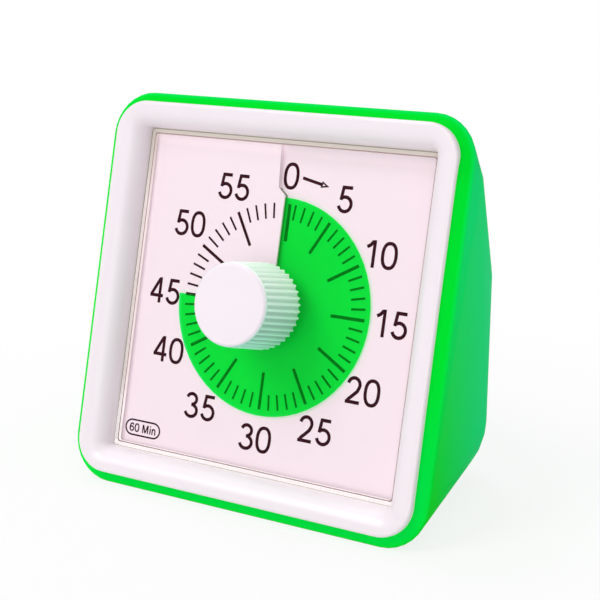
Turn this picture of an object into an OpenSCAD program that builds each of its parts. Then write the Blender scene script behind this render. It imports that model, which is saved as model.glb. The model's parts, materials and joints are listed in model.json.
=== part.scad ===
// Desk countdown timer with a coloured disc that shows the minutes left.
// The dial leans back in a wedge-shaped housing. +Z is up, the dial faces -Y,
// and the origin is on the table, under the middle of the whole timer.
// "Behind" and "in front" are measured along the dial's own axis, from the
// face of the dial card at the 0 mark.

/* [Stance] */
// Angle that the dial leans back from upright
lean = 14.6; // [10:0.1:18]

/* [Housing] */
// Width over the ridge of the front rim
housing_w = 84.8; // [84:0.2:88]
// Ridge above the dial axis, along the face
housing_up = 41.6; // [41.2:0.1:44]
// Ridge below the dial axis, along the face
housing_down = 42.4; // [41.9:0.1:45]
// Corner radius of the ridge
rim_r = 9.3; // [8:0.1:12]
// Height of the ridge in front of the dial card
ridge_z = 4.6; // [4:0.1:5.2]
// Depth of the sloped lip from its front edge back to the ridge
lip_d = 1.6; // [1:0.1:2.2]
// Wall thickness
wall = 2; // [1.6:0.1:2.4]
// Radius of the lower rear corners
low_r = 14.5; // [12:0.5:15]
// How far the lower rear corners stand in from the ridge
low_in = 3.4; // [2.5:0.1:4.5]
// Reach of the lower rear behind the dial axis, along the table
low_reach = 33; // [32.5:0.1:36]
// Radius of the shoulders half-way up the back
mid_r = 9; // [8:0.5:10]
// How far those shoulders stand in from the ridge
mid_in = 4; // [3:0.1:4.5]
// Reach of those shoulders behind the dial axis
mid_reach = 30.3; // [30:0.1:31.5]
// Height of the shoulders' centres above the dial axis
mid_up = 6; // [5:0.5:8]
// Radius of the upper rear corners
top_r = 8.2; // [7.5:0.1:9]
// Reach of the upper rear corners behind the dial axis
top_reach = 14.4; // [14:0.1:16]
// Height of the upper corners' centres above the dial axis
top_up = 27.6; // [26:0.2:28.5]

/* [Bezel] */
// Width of the white front frame
bezel_w = 79; // [78:0.1:79.6]
// Top edge of the frame above the dial axis
bezel_up = 39.4; // [39:0.1:39.5]
// Bottom edge of the frame below the dial axis
bezel_down = 40; // [39.6:0.1:40.2]
// Corner radius of the frame
bezel_r = 6.9; // [6:0.1:8]
// Height of the frame's crest in front of the dial card
crest_z = 7.75; // [7.3:0.05:8.5]
// Width of the rolled border, from crest to lens
roll_w = 4.45; // [4:0.05:4.8]
// Visible width of the ledge round the window
ledge_w = 1.15; // [0.8:0.05:1.4]
// Thickness of the ledge that the lens is bonded to
ledge_t = 0.8; // [0.6:0.1:0.8]
// Depth of the lens seat below the border's inner edge
lens_seat_d = 1.25; // [1.1:0.05:1.4]

/* [Window] */
// Width of the window in the frame
window_w = 66.4; // [64:0.2:67]
// Top of the window above the dial axis
window_up = 33.2; // [32:0.1:33.4]
// Bottom of the window below the dial axis
window_down = 33.6; // [32:0.1:33.8]

/* [Lens] */
// Thickness of the clear lens
lens_t = 1; // [0.8:0.05:1.1]
// Radius of its hole for the knob's neck
lens_hole_r = 6; // [5.4:0.1:7]

/* [Dial] */
// Rise of the dial card over one full turn
pitch = 1.25; // [1.2:0.01:1.3]
// Thickness of the dial card
card_t = 0.4; // [0.3:0.05:0.45]
// Margin of the card behind the frame, beyond the window
card_margin = 1.4; // [1:0.1:1.5]
// Radius of the card's hole for the disc hub
card_hole_r = 5.2; // [4.6:0.1:6]
// Angle by which the card's step stands back beyond the disc
notch_a = 4; // [3:0.1:9]

/* [Time disc] */
// Radius of the coloured disc
disc_r = 22.6; // [20:0.1:23]
// Thickness of the disc
disc_t = 0.3; // [0.2:0.02:0.32]
// Gap between the disc and the card under it
disc_gap = 0.25; // [0.2:0.01:0.28]
// Minutes that the disc shows at rest
rest_minutes = 45; // [20:1:55]
// Radius of the disc's hub
hub_r = 4; // [3.6:0.1:4.4]
// Length of the hub
hub_l = 3.9; // [3.4:0.1:4.1]

/* [Knob] */
// Radius of the knob at the dial, over its ribs
knob_r = 8.95; // [8:0.05:10]
// Radius at its face, over its ribs
knob_face_r = 8.4; // [7.6:0.05:9]
// Length of the knob
knob_l = 13.2; // [12:0.1:18]
// Gap between the knob and the lens
knob_gap = 0.9; // [0.5:0.1:1.4]
// Rounding of the knob's face
knob_edge = 0.9; // [0.6:0.1:1.8]
// Number of grip ribs
ribs = 40; // [30:1:48]
// Depth of the grip ribs
rib_d = 0.5; // [0.3:0.05:0.7]
// Radius of the knob's neck
neck_r = 4.5; // [4.2:0.1:5]

/* [Spindle] */
// Radius of the spindle in its bearings
spindle_r = 1.5; // [1.3:0.05:1.7]
// Radius of the spindle where the hub rides
key_r = 2; // [1.9:0.05:2.2]
// Depth of the flat that turns the hub
flat_d = 0.5; // [0.3:0.05:0.7]

/* [Chassis] */
// Depth of the chassis face behind the dial card
chassis_z = 1.6; // [1.5:0.05:1.8]
// Thickness of the chassis plate
chassis_t = 1.5; // [1.3:0.1:1.7]
// Width of the chassis plate
chassis_w = 72; // [70:0.5:73]
// Chassis above the dial axis
chassis_up = 31; // [30:0.5:31]
// Chassis below the dial axis
chassis_down = 33; // [30:0.5:34]
// Radius of the posts that carry the card
post_r = 1.2; // [0.8:0.1:1.5]
// Radius of the circle of posts
post_ring_r = 27; // [25:0.5:29]
// Number of posts on that circle
posts = 12; // [8:1:16]

/* [Movement] */
// Half width of the movement case
move_half = 19; // [18.6:0.1:20]
// Thickness of the movement case
move_t = 11; // [10.8:0.1:11.6]
// Thickness of its walls
move_wall = 1.2; // [1:0.1:1.3]
// Gear module
gear_m = 0.3; // [0.3:0.01:0.32]
// Teeth of the centre wheel
centre_teeth = 60; // [48:2:60]
// Teeth of the two wheels of the train
wheel_teeth = 40; // [36:2:40]
// Leaves of the pinions that they carry
pinion_teeth = 10; // [10:1:12]
// Leaves of the rotor pinion
rotor_teeth = 8; // [8:1:10]
// Thickness of a gear
gear_t = 0.8; // [0.6:0.05:0.8]

/* [Battery] */
// Radius of the AA cell
cell_r = 7.25; // [7:0.05:7.3]
// Length of the cell without its cap
cell_l = 49.5; // [48:0.5:50]
// Length of its positive cap
cap_l = 1; // [0.8:0.1:1.2]
// Free length kept for the contacts at each end
contact_l = 2.6; // [2.2:0.1:3]
// Wall of the battery tray
tray_wall = 1.2; // [1:0.1:1.4]
// Middle of the cell below the shoulders, along the back
cell_down = 25; // [24.6:0.1:25.6]

/* [Battery door] */
// Width of the door
door_w = 52; // [51.5:0.5:54]
// Height of the door from its pivot
door_h = 16.6; // [15.5:0.1:17]
// Radius of the rolled lower edge that it turns in
door_pivot_r = 1; // [0.8:0.05:1]
// Radius of the two pins that it turns on
door_pin_r = 0.6; // [0.5:0.05:0.65]
// Length of each pin
door_pin_l = 1; // [0.8:0.1:1.4]

/* [Controls] */
// Middle of the switches and the sound holes below the shoulders
panel_down = 7.4; // [6.8:0.1:7.8]
// Distance of each switch from the middle
switch_x = 17; // [16:0.5:17]
// Side of a switch button
button_w = 2.6; // [2.2:0.1:3]
// Height of a button over the housing
button_out = 0.9; // [0.6:0.1:1.4]
// Travel of the volume switch
volume_travel = 4; // [3:0.5:5]
// Travel of the alarm length switch
alarm_travel = 3; // [2:0.5:4]
// Radius of the buzzer
buzzer_r = 7.5; // [6:0.1:7.8]
// Radius of a sound hole
sound_hole_r = 0.8; // [0.6:0.05:1]
// Radius of the ring of sound holes
sound_ring_r = 4; // [3:0.1:5]
// Height of the circuit board
board_h = 12; // [11:0.5:12.4]
// Width of the circuit board
board_w = 52; // [50:1:54]
// Depth of the board's rear face inside the housing's surface
board_d = 7; // [6.6:0.1:7.4]
// Thickness of the circuit board
board_t = 1.2; // [0.8:0.1:1.6]

/* [Fits] */
// Gap round a plate that drops into a frame
plate_gap = 0.2; // [0.1:0.05:0.3]
// Radial clearance of a running fit
run_gap = 0.05; // [0.03:0.01:0.08]
// Gap between pieces that pass each other
pass_gap = 0.3; // [0.2:0.05:0.4]
// Radius of the screws' shanks
screw_r = 1; // [0.8:0.05:1.1]
// Gap between a screw and its pilot hole
screw_gap = 0.02; // [0.01:0.01:0.05]
// Radius of the screws' heads
screw_head_r = 2; // [1.8:0.1:2.2]

/* [Hidden] */

$fn = 64;
HULL_FN = 32;  // enough for a blended shell
EPS = 0.01;
FAR = 200;

// Frame round the window
mouth_gap = 0.15;
seat_z = 4.3;               // height of the step that the bezel lies on
seat_t = 1.5;               // thickness of that step
seat_w = 2;                 // width of that step
roll_edge_z = 3.5;          // height of the border's inner edge
ledge_z = roll_edge_z - lens_seat_d;
lens_w = window_w + 2 * ledge_w;
lens_up = window_up + ledge_w;
lens_down = window_down + ledge_w;
collar_w = 2;               // width of the frame's inner wall round the lens

// Where the dial axis meets the card, so that the rim stands on the table
dial_h = housing_down * cos(lean) - ridge_z * sin(lean);
knob_base_z = ledge_z + lens_t + knob_gap;
knob_z = knob_base_z + knob_l;
neck_l = 1.1;               // length of the knob's neck, down to the hub
front_reach = (knob_face_r - 0.1 - knob_edge) * sin(lean) + (knob_z - knob_edge) * cos(lean)
    + knob_edge;
dial_y = (front_reach - low_reach) / 2;

// Centres of the housing's rear corners: half width, behind the axis, above the table
low_c = [housing_w / 2 - low_in - low_r, low_reach - low_r, low_r];
mid_c = [housing_w / 2 - mid_in - mid_r, mid_reach - mid_r, dial_h + mid_up];
top_c = [housing_w / 2 - top_r, top_reach - top_r, dial_h + top_up];

// The flat panel of the back runs from the shoulders down to the lower corners
back_span = norm([mid_c[1] - low_c[1], mid_c[2] - low_c[2]]);
back_tilt = asin((low_r - mid_r) / back_span)
    - atan2(mid_c[1] - low_c[1], mid_c[2] - low_c[2]);

// Depths of the movement, behind the card
move_z0 = chassis_z + chassis_t;
move_z1 = move_z0 + move_t;
move_split_z = move_z0 + 6;
bush_r = 3.5;
bush_front = 2.8;
pivot_r = 0.5;
pivot_l = 0.7;
layer_rotor = move_z0 + move_wall + 1.7;
layer_second = layer_rotor + 1.5;
layer_centre = layer_second + 1.9;
flange_r = 2.6;
flange_t = 0.6;
spring_t = 0.5;
collar_t = 0.6;

// Centres of the train, from the dial axis
third_angle = -30;
second_angle = 75;
rotor_angle = 100;
third_p = polar(mesh_distance(centre_teeth, pinion_teeth), third_angle);
second_p = third_p + polar(mesh_distance(wheel_teeth, pinion_teeth), second_angle);
rotor_p = second_p + polar(mesh_distance(wheel_teeth, rotor_teeth), rotor_angle);

// Battery bay, in the frame of the back
tray_depth = wall + 4 * run_gap + 2 * cell_r + 8 * run_gap;
tray_half_h = cell_r + 6 * run_gap;
tray_half_w = (cell_l + cap_l) / 2 + contact_l;
cell_depth = wall + 6 * run_gap + cell_r;
door_pivot_down = cell_down + cell_r;
board_gap = 0.4;
sound_holes = 6;
switch_body = [9, 4.6, 3.2];
board_boss_r = 1.8;         // pillars under the ends of the board
board_boss_gap = 0.7;       // room between a pillar and the switch beside it
board_screw_x = switch_x + switch_body[0] / 2 + board_boss_gap + board_boss_r;
chassis_screw_p = [for (x = [1, -1]) each [[x * (chassis_w / 2 - 7), chassis_up - 7.5],
                                           [x * (chassis_w / 2 - 3.4), 7 - chassis_down]]];
corner_post_p = [for (x = [1, -1]) each [[x * (chassis_w / 2 - 4), chassis_up - 3],
                                         [x * (chassis_w / 2 - 4), 2.5 - chassis_down]]];
move_screw_p = [[-15.5, -15.5], [15.5, -15.5]];
boss_r = 2.8;
chassis_screw_l = 6;
move_screw_l = 4;
head_sink = 0.6;             // depth of the sunk heads under the disc

function polar(r, a) = [r * cos(a), r * sin(a)];
function mesh_distance(a, b) = gear_m * (a + b) / 2 + 0.02;
// Height of the card's face, by the angle clockwise from 12 o'clock
function rise(a) = pitch * a / 360;
// A point at that angle and radius, in the plane of the face
function clock(r, a) = [r * sin(a), r * cos(a)];
// Distance from the axis to the edge of a rectangle round it
function edge_r(a, half, up, down) =
    min(abs(sin(a)) < 0.001 ? FAR : half / abs(sin(a)),
        abs(cos(a)) < 0.001 ? FAR : (cos(a) > 0 ? up : down) / abs(cos(a)));

// ---- Frames that the pieces are drawn in ----

// On the dial: X right, Y up the face, Z towards the viewer
module on_face() {
    translate([0, dial_y, dial_h]) rotate([90 - lean, 0, 0]) children();
}

// The same, with Z going into the timer from the viewer, X right and Y down
module into_face() {
    on_face() rotate([180, 0, 0]) children();
}

// On the back: Y up the back, Z out of it, from the shoulders' lower edge
module on_back() {
    translate([0, dial_y + mid_c[1] + mid_r * cos(back_tilt), mid_c[2] + mid_r * sin(back_tilt)])
        rotate([0, 0, 180]) rotate([90 - back_tilt, 0, 0]) children();
}

// ---- Shared shapes ----

// Rectangle round the dial axis with rounded corners
module face_rect(w, up, down, r) {
    translate([-w / 2 + r, -down]) square([w - 2 * r, up + down]);
    translate([-w / 2, r - down]) square([w, up + down - 2 * r]);
    for (x = [-1, 1], y = [up - r, r - down])
        translate([x * (w / 2 - r), y]) circle(r);
}

// The same rectangle as a plate from z0 to z1
module face_plate(w, up, down, r, z0, z1) {
    translate([0, 0, z0]) linear_extrude(z1 - z0) face_rect(w, up, down, r);
}

// Ball whose poles and sides are exact
module ball(r) {
    rotate_extrude($fn = HULL_FN)
        intersection() {
            circle(r, $fn = HULL_FN);
            translate([0, -r]) square([r, 2 * r]);
        }
}

// The housing's outer form, or its inner one when it is drawn in by a wall
module housing_form(inset, lip) {
    mouth = mouth_gap + 0.35;
    hull() {
        on_face() {
            rim_slice(inset, 0, ridge_z);
            rim_slice(inset, 0.25, ridge_z + lip * lip_d * 0.3);
            rim_slice(inset, lip * (housing_w - bezel_w - 2 * mouth) / 2, ridge_z + lip * lip_d);
        }
        for (c = [[low_c, low_r], [mid_c, mid_r], [top_c, top_r]], x = [-1, 1])
            translate([x * c[0][0], dial_y + c[0][1], c[0][2]]) ball(c[1] - inset);
    }
}

// One thin slice of the rim, drawn in from the ridge
module rim_slice(inset, in, z) {
    i = inset + in;
    translate([0, 0, z - 0.05]) linear_extrude(0.05)
        face_rect(housing_w - 2 * i, housing_up - i * 0.82, housing_down - i * 0.95,
                  max(rim_r - i, 1), $fn = HULL_FN);
}

// A gear with one tooth on the X axis. The teeth taper and leave room to run.
module gear(teeth, t) {
    pr = gear_m * teeth / 2;
    step = 360 / teeth;
    outline = [for (i = [0:teeth - 1], k = [[-0.29, -1.2], [-0.19, 0], [-0.09, 0.85],
                                            [0.09, 0.85], [0.19, 0], [0.29, -1.2]])
        polar(pr + k[1] * gear_m, (i + k[0]) * step)];
    linear_extrude(t) polygon(outline);
}

// Gear wheel with its pinion and arbor, between the two floors of the movement
module wheel_and_pinion(p, wheel, wheel_z, wheel_a, pinion, pinion_z, pinion_a) {
    translate([p[0], -p[1], 0]) {
        translate([0, 0, move_z0 + move_wall - pivot_l])
            cylinder(r = pivot_r, h = move_t - 2 * move_wall + 2 * pivot_l);
        translate([0, 0, min(wheel_z, pinion_z)])
            cylinder(r = 0.8, h = abs(wheel_z - pinion_z) + gear_t);
        translate([0, 0, wheel_z]) rotate([0, 0, -wheel_a]) gear(wheel, gear_t);
        translate([0, 0, pinion_z - 0.15])
            rotate([0, 0, -pinion_a]) gear(pinion, gear_t + 0.3);
    }
}

// Spiral plate from angle a0 to a1, between an inner radius and an outer one
// that a function of the angle gives through the two lists
module spiral_plate(angles, inner, outer, z0, t) {
    n = len(angles);
    points = [for (i = [0:n - 1], k = [0:3])
        let (r = k % 2 == 0 ? inner[i] : outer[i], a = angles[i])
        [r * sin(a), r * cos(a), z0 + rise(a) + (k < 2 ? t : 0)]];
    sides = [for (i = [0:n - 2], f = [[0, 5, 4], [0, 1, 5], [2, 7, 3], [2, 6, 7],
                                      [1, 7, 5], [1, 3, 7], [0, 6, 2], [0, 4, 6]])
        [for (v = f) 4 * i + v]];
    ends = [[0, 3, 1], [0, 2, 3], [for (v = [0, 1, 3]) 4 * (n - 1) + v],
            [for (v = [0, 3, 2]) 4 * (n - 1) + v]];
    polyhedron(points, concat(sides, ends));
}

// Tube of radius r swept along a smooth line through the given points
module lead(points, r) {
    steps = 5;
    sides = 8;
    path = [for (i = [0:len(points) - 2], s = [0:steps - 1]) spline(points, i, s / steps)];
    line = concat(path, [points[len(points) - 1]]);
    n = len(line);
    rings = [for (i = [0:n - 1], k = [0:sides - 1])
        let (t = unit(line[min(i + 1, n - 1)] - line[max(i - 1, 0)]),
             u = unit(cross(t, abs(t[2]) > 0.8 ? [1, 0, 0] : [0, 0, 1])),
             v = cross(t, u), a = 360 * k / sides)
        line[i] + r * (cos(a) * u + sin(a) * v)];
    walls = [for (i = [0:n - 2], k = [0:sides - 1]) let (m = (k + 1) % sides)
        each [[i * sides + k, (i + 1) * sides + m, i * sides + m],
              [i * sides + k, (i + 1) * sides + k, (i + 1) * sides + m]]];
    caps = [[for (k = [0:sides - 1]) k], [for (k = [sides - 1:-1:0]) (n - 1) * sides + k]];
    polyhedron(rings, concat(walls, caps));
}

function unit(v) = v / norm(v);
function spline(p, i, t) =
    let (a = p[max(i - 1, 0)], b = p[i], c = p[i + 1], d = p[min(i + 2, len(p) - 1)])
    0.5 * (2 * b + (c - a) * t + (2 * a - 5 * b + 4 * c - d) * t * t
           + (3 * b - a - 3 * c + d) * t * t * t);

// A pan-head screw along -Z, with its head's seat at Z = 0
module screw(length) {
    head_t = screw_head_r * 0.6;
    difference() {
        union() {
            cylinder(r = screw_head_r, h = head_t);
            translate([0, 0, -length]) cylinder(r = screw_r, h = length + EPS);
        }
        for (a = [0, 90])
            rotate([0, 0, a]) translate([-screw_head_r * 0.6, -0.2, head_t - 0.5])
                cube([screw_head_r * 1.2, 0.4, 1]);
    }
}

// ---- Housing and front ----

// Green wedge shell, open at the front, with its bosses, slots and battery window
module rear_housing() {
    color("#02e534")
    difference() {
        union() {
            difference() {
                housing_form(0, 1);
                difference() {
                    housing_form(wall, 0);
                    on_face() translate([-FAR / 2, -FAR / 2, seat_z - seat_t])
                        cube([FAR, FAR, FAR]);
                }
            }
            intersection() {
                housing_form(wall / 2, 0);
                housing_bosses();
            }
        }
        // mouth that the bezel drops into, and the opening through its step
        on_face() {
            face_plate(bezel_w + 2 * mouth_gap, bezel_up + mouth_gap, bezel_down + mouth_gap,
                       bezel_r + mouth_gap, seat_z, FAR);
            face_plate(bezel_w - 2 * seat_w, bezel_up - seat_w, bezel_down - seat_w,
                       bezel_r - seat_w, seat_z - seat_t - EPS, FAR);
        }
        into_face()
            for (p = chassis_screw_p)
                translate([p[0], -p[1], move_z0 - EPS])
                    cylinder(r = screw_r + screw_gap, h = chassis_screw_l);
        on_back() back_cuts();
    }
}

// Pillars that the chassis and the board are screwed to
module housing_bosses() {
    into_face()
        for (p = chassis_screw_p)
            translate([p[0], -p[1], move_z0]) cylinder(r = boss_r, h = FAR / 2);
    on_back()
        for (x = [-1, 1])
            translate([x * board_screw_x, -panel_down, -board_d])
                cylinder(r = board_boss_r, h = board_d - wall / 2);
}

// Everything that is cut through the back panel
module back_cuts() {
    // battery window and the round seat of the door's lower edge
    translate([-door_w / 2 - plate_gap, -door_pivot_down, -wall - 3])
        cube([door_w + 2 * plate_gap, door_h + plate_gap, FAR / 4]);
    translate([-door_w / 2 - plate_gap, -door_pivot_down, -door_pivot_r]) rotate([0, 90, 0])
        cylinder(r = door_pivot_r + plate_gap, h = door_w + 2 * plate_gap);
    translate([-door_w / 2 - plate_gap, -door_pivot_down - door_pivot_r - plate_gap, -door_pivot_r])
        cube([door_w + 2 * plate_gap, door_pivot_r + plate_gap + EPS, FAR / 4]);
    // holes of its two pins
    translate([-door_w / 2 - door_pin_l - plate_gap, -door_pivot_down, -door_pivot_r])
        rotate([0, 90, 0])
            cylinder(r = door_pin_r + run_gap, h = door_w + 2 * door_pin_l + 2 * plate_gap);
    // room for the tray against the wall
    translate([-tray_half_w - tray_wall - plate_gap, -cell_down - tray_half_h - tray_wall - plate_gap,
               -tray_depth - tray_wall - plate_gap])
        cube([2 * (tray_half_w + tray_wall + plate_gap), 2 * (tray_half_h + tray_wall + plate_gap),
              tray_depth + tray_wall + plate_gap - wall]);
    // slots of the two switches
    for (s = [[switch_x, volume_travel], [-switch_x, alarm_travel]])
        translate([s[0] - (s[1] + button_w) / 2 - pass_gap, -panel_down - button_w / 2 - pass_gap,
                   -wall - 1])
            cube([s[1] + button_w + 2 * pass_gap, button_w + 2 * pass_gap, wall + 3]);
    // sound holes
    translate([0, -panel_down, -wall - 1]) {
        cylinder(r = sound_hole_r, h = wall + 3);
        for (i = [0:sound_holes - 1])
            rotate([0, 0, 360 * i / sound_holes]) translate([sound_ring_r, 0, 0])
                cylinder(r = sound_hole_r, h = wall + 3);
    }
    // pilot holes of the board's screws
    for (x = [-1, 1])
        translate([x * board_screw_x, -panel_down, -board_d - EPS])
            cylinder(r = screw_r + screw_gap, h = 4);
}

// White frame with a rolled border, a lens seat and four snap hooks
module front_bezel() {
    roll_steps = 5;
    hook_w = 7;
    hook_t = 1.2;
    hook_l = seat_t + 1;
    hook_y = 22;
    color("#f5ecf2") on_face() {
        difference() {
            union() {
                bezel_block();
                // wall round the lens that goes down to the ledge
                face_plate(lens_w + 2 * collar_w, lens_up + collar_w, lens_down + collar_w, 1.5,
                           ledge_z - ledge_t, seat_z + EPS);
            }
            // the border rolls in from the crest as a quarter of an ellipse
            for (i = [0:roll_steps - 1])
                hull() {
                    roll_slice(i * 90 / roll_steps);
                    roll_slice((i + 1) * 90 / roll_steps);
                }
            face_plate(lens_w, lens_up, lens_down, 0.8, ledge_z, roll_edge_z + EPS);
            face_plate(window_w, window_up, window_down, 0.6, 0, FAR);
        }
        for (x = [-1, 1], y = [-hook_y, hook_y])
            translate([x * (bezel_w / 2 - seat_w - pass_gap - hook_t / 2), y, 0])
                rotate([0, 0, x > 0 ? 0 : 180]) {
                    translate([-hook_t / 2, -hook_w / 2, seat_z - hook_l])
                        cube([hook_t, hook_w, hook_l + EPS]);
                    translate([0, -hook_w / 2, seat_z - hook_l])
                        cube([hook_t / 2 + pass_gap + 0.5, hook_w, hook_l - seat_t - 0.1]);
                }
    }
}

// Frame's solid: straight sides with a chamfered front edge
module bezel_block() {
    edge = 0.9;
    hull() {
        face_plate(bezel_w, bezel_up, bezel_down, bezel_r, seat_z, crest_z - edge, $fn = HULL_FN);
        face_plate(bezel_w - 0.6 * edge, bezel_up - 0.3 * edge, bezel_down - 0.3 * edge,
                   bezel_r - 0.3 * edge, crest_z - edge, crest_z - 0.3 * edge, $fn = HULL_FN);
        face_plate(bezel_w - 2 * edge, bezel_up - edge, bezel_down - edge, bezel_r - edge,
                   crest_z - edge, crest_z, $fn = HULL_FN);
    }
}

// One level of the opening inside the border, from the lens (0) to the crest (90)
module roll_slice(a) {
    out = roll_w * (1 - cos(a));
    translate([0, 0, roll_edge_z + (crest_z - roll_edge_z) * sin(a)]) linear_extrude(0.02)
        face_rect(lens_w + 2 * out, lens_up + out, lens_down + out,
                  0.8 + (bezel_r - 0.8) * out / roll_w * 0.8, $fn = HULL_FN);
}

// Clear plate over the dial, with a hole for the knob's neck
module lens() {
    color("#eef4f6", 0.35) on_face()
        difference() {
            face_plate(lens_w - 2 * plate_gap, lens_up - plate_gap, lens_down - plate_gap, 0.6,
                       ledge_z, ledge_z + lens_t);
            translate([0, 0, ledge_z - 1]) cylinder(r = lens_hole_r, h = lens_t + 2);
        }
}

// ---- Dial ----

// White card cut from 12 o'clock to its middle and raised like one turn of a
// screw, so that the disc can slide in under its raised edge
module dial_card() {
    half = window_w / 2 + card_margin;
    up = window_up + card_margin;
    down = window_down + card_margin;
    corner = [atan2(half, up), 180 - atan2(half, down)];
    angles = [for (i = [0:8]) corner[0] * i / 8, for (i = [1:9]) corner[0] + (corner[1] - corner[0]) * i / 9,
              for (i = [1:16]) corner[1] + (360 - 2 * corner[1]) * i / 16,
              for (i = [1:9]) 360 - corner[1] + (corner[1] - corner[0]) * i / 9,
              for (i = [1:8]) 360 - corner[0] + corner[0] * i / 8];
    notch_r = disc_r + 1.9;
    notch = [[0, disc_r + 0.4], clock(notch_r, -notch_a), clock(up / cos(notch_a), -notch_a), [0, up]];
    color("#fae9f1") on_face() {
        difference() {
            spiral_plate(angles, [for (a = angles) card_hole_r],
                         [for (a = angles) edge_r(a, half, up, down)], -card_t, card_t);
            translate([0, 0, pitch / 2]) linear_extrude(pitch)
                polygon(concat(notch, [[0, FAR], [1, FAR], [1, notch[0][1]]]));
        }
        // the lower level goes on in the notch, up to the wall of the step
        translate([0, 0, -card_t]) linear_extrude(card_t - EPS) polygon(notch);
        translate([0, 0, -card_t]) linear_extrude(card_t + rise(360 - notch_a) - EPS)
            polygon([for (r = [notch_r, up / cos(notch_a)]) clock(r, -notch_a),
                     clock(up / cos(notch_a + 1), -notch_a - 1), clock(notch_r, -notch_a - 1.4)]);
    }
}

// Plate behind the dial, with posts of rising height that carry the card
module chassis_plate() {
    color("#f2efe9") into_face()
        difference() {
            union() {
                rotate([180, 0, 0])
                    face_plate(chassis_w, chassis_up, chassis_down, 4, -move_z0, -chassis_z);
                for (i = [0:posts - 1])
                    card_post(clock(post_ring_r, (i + 0.5) * 360 / posts), (i + 0.5) * 360 / posts);
                for (p = corner_post_p)
                    card_post(p, (atan2(p[0], p[1]) + 360) % 360);
            }
            translate([0, 0, chassis_z - 1]) {
                cylinder(r = hub_r + 2 * pass_gap, h = bush_front - chassis_z + 1);
                cylinder(r = bush_r + run_gap, h = chassis_t + 2);
            }
            for (p = chassis_screw_p)
                translate([p[0], -p[1], chassis_z - 1]) cylinder(r = screw_r + 0.1, h = chassis_t + 2);
            for (p = move_screw_p)
                translate([p[0], -p[1], chassis_z - 1]) {
                    cylinder(r = screw_r + 0.1, h = chassis_t + 2);
                    cylinder(r = screw_head_r + plate_gap, h = head_sink + 1);
                }
        }
}

// One post from the chassis to the underside of the card at that angle
module card_post(p, a) {
    top = card_t - rise(a) + 0.02;
    translate([p[0], -p[1], top]) cylinder(r = post_r, h = chassis_z - top + EPS);
}

// Green film disc: one turn of a screw with the card's own pitch
module time_disc() {
    turn = 6 * rest_minutes;
    angles = [for (i = [0:60]) turn - 360 + 6 * i];
    color("#02e534", 0.85) on_face()
        spiral_plate(angles, [for (a = angles) hub_r - 0.1], [for (a = angles) disc_r],
                     disc_gap, disc_t);
}

// Height of the disc at its rest setting, under the knob's neck
function hub_top() = knob_base_z - neck_l - 0.25 - rise(360 - 6 * rest_minutes);

// Sleeve that holds the disc and slides along the spindle's flat
module disc_hub() {
    color("#f3f0ea") on_face()
        difference() {
            translate([0, 0, hub_top() - hub_l]) cylinder(r = hub_r, h = hub_l);
            difference() {
                translate([0, 0, hub_top() - hub_l - 1]) cylinder(r = key_r + run_gap, h = hub_l + 2);
                translate([-hub_r, key_r - flat_d + run_gap, hub_top() - hub_l - 2])
                    cube([2 * hub_r, key_r, hub_l + 4]);
            }
        }
}

// ---- Knob and spindle ----

// Ribbed grip with a smooth face, a rolled edge and a neck through the lens
module knob() {
    base = knob_base_z;
    core_r = knob_r - rib_d;
    core_face_r = knob_face_r - rib_d;
    rib_a = atan2(knob_r - knob_face_r, knob_l);
    color("#f6ecf4") on_face()
        difference() {
            union() {
                translate([0, 0, base]) cylinder(r1 = core_r, r2 = core_face_r, h = knob_l - knob_edge);
                translate([0, 0, base + knob_l - knob_edge])
                    knob_face(knob_face_r - 0.1, knob_edge);
                translate([0, 0, base]) cylinder(r1 = knob_r - 0.1, r2 = knob_r, h = 0.6);
                for (i = [0:ribs - 1])
                    rotate([0, 0, 360 * (i + 0.5) / ribs]) translate([knob_r - rib_d / 2, 0, base])
                        rotate([0, -rib_a, 0])
                            cylinder(r = rib_d / 2 + 0.02, h = knob_l - knob_edge, $fn = 16);
                translate([0, 0, base - neck_l]) cylinder(r = neck_r, h = neck_l + EPS);
            }
            translate([0, 0, base - neck_l - 1])
                cylinder(r = spindle_r + run_gap / 5, h = 1 + neck_l + knob_socket());
        }
}

// Face of the knob, with its edge rounded by an arc
module knob_face(r, edge) {
    rotate_extrude() {
        square([r - edge, edge]);
        intersection() {
            translate([r - edge, 0]) circle(edge);
            square([r, edge]);
        }
    }
}

function knob_socket() = knob_l * 0.6;

// Steel arbor: it carries the knob, turns the hub by a flat and is driven by
// the centre wheel through the slipping clutch
module spindle() {
    key_z0 = -bush_front;
    key_z1 = knob_base_z - neck_l;
    color("#c9ccd0") on_face() {
        difference() {
            translate([0, 0, key_z0]) cylinder(r = key_r, h = key_z1 - key_z0);
            translate([-key_r, key_r - flat_d, key_z0 - 1]) cube([2 * key_r, key_r, key_z1 - key_z0 + 2]);
        }
        translate([0, 0, key_z1 - EPS])
            cylinder(r = spindle_r, h = knob_base_z + knob_socket() - key_z1 + EPS);
        translate([0, 0, -(move_z1 - move_wall + pivot_l)])
            cylinder(r = spindle_r, h = move_z1 - move_wall + pivot_l - bush_front + EPS);
        translate([0, 0, -layer_centre]) cylinder(r = flange_r, h = flange_t);
    }
}

// ---- Movement ----

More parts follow.
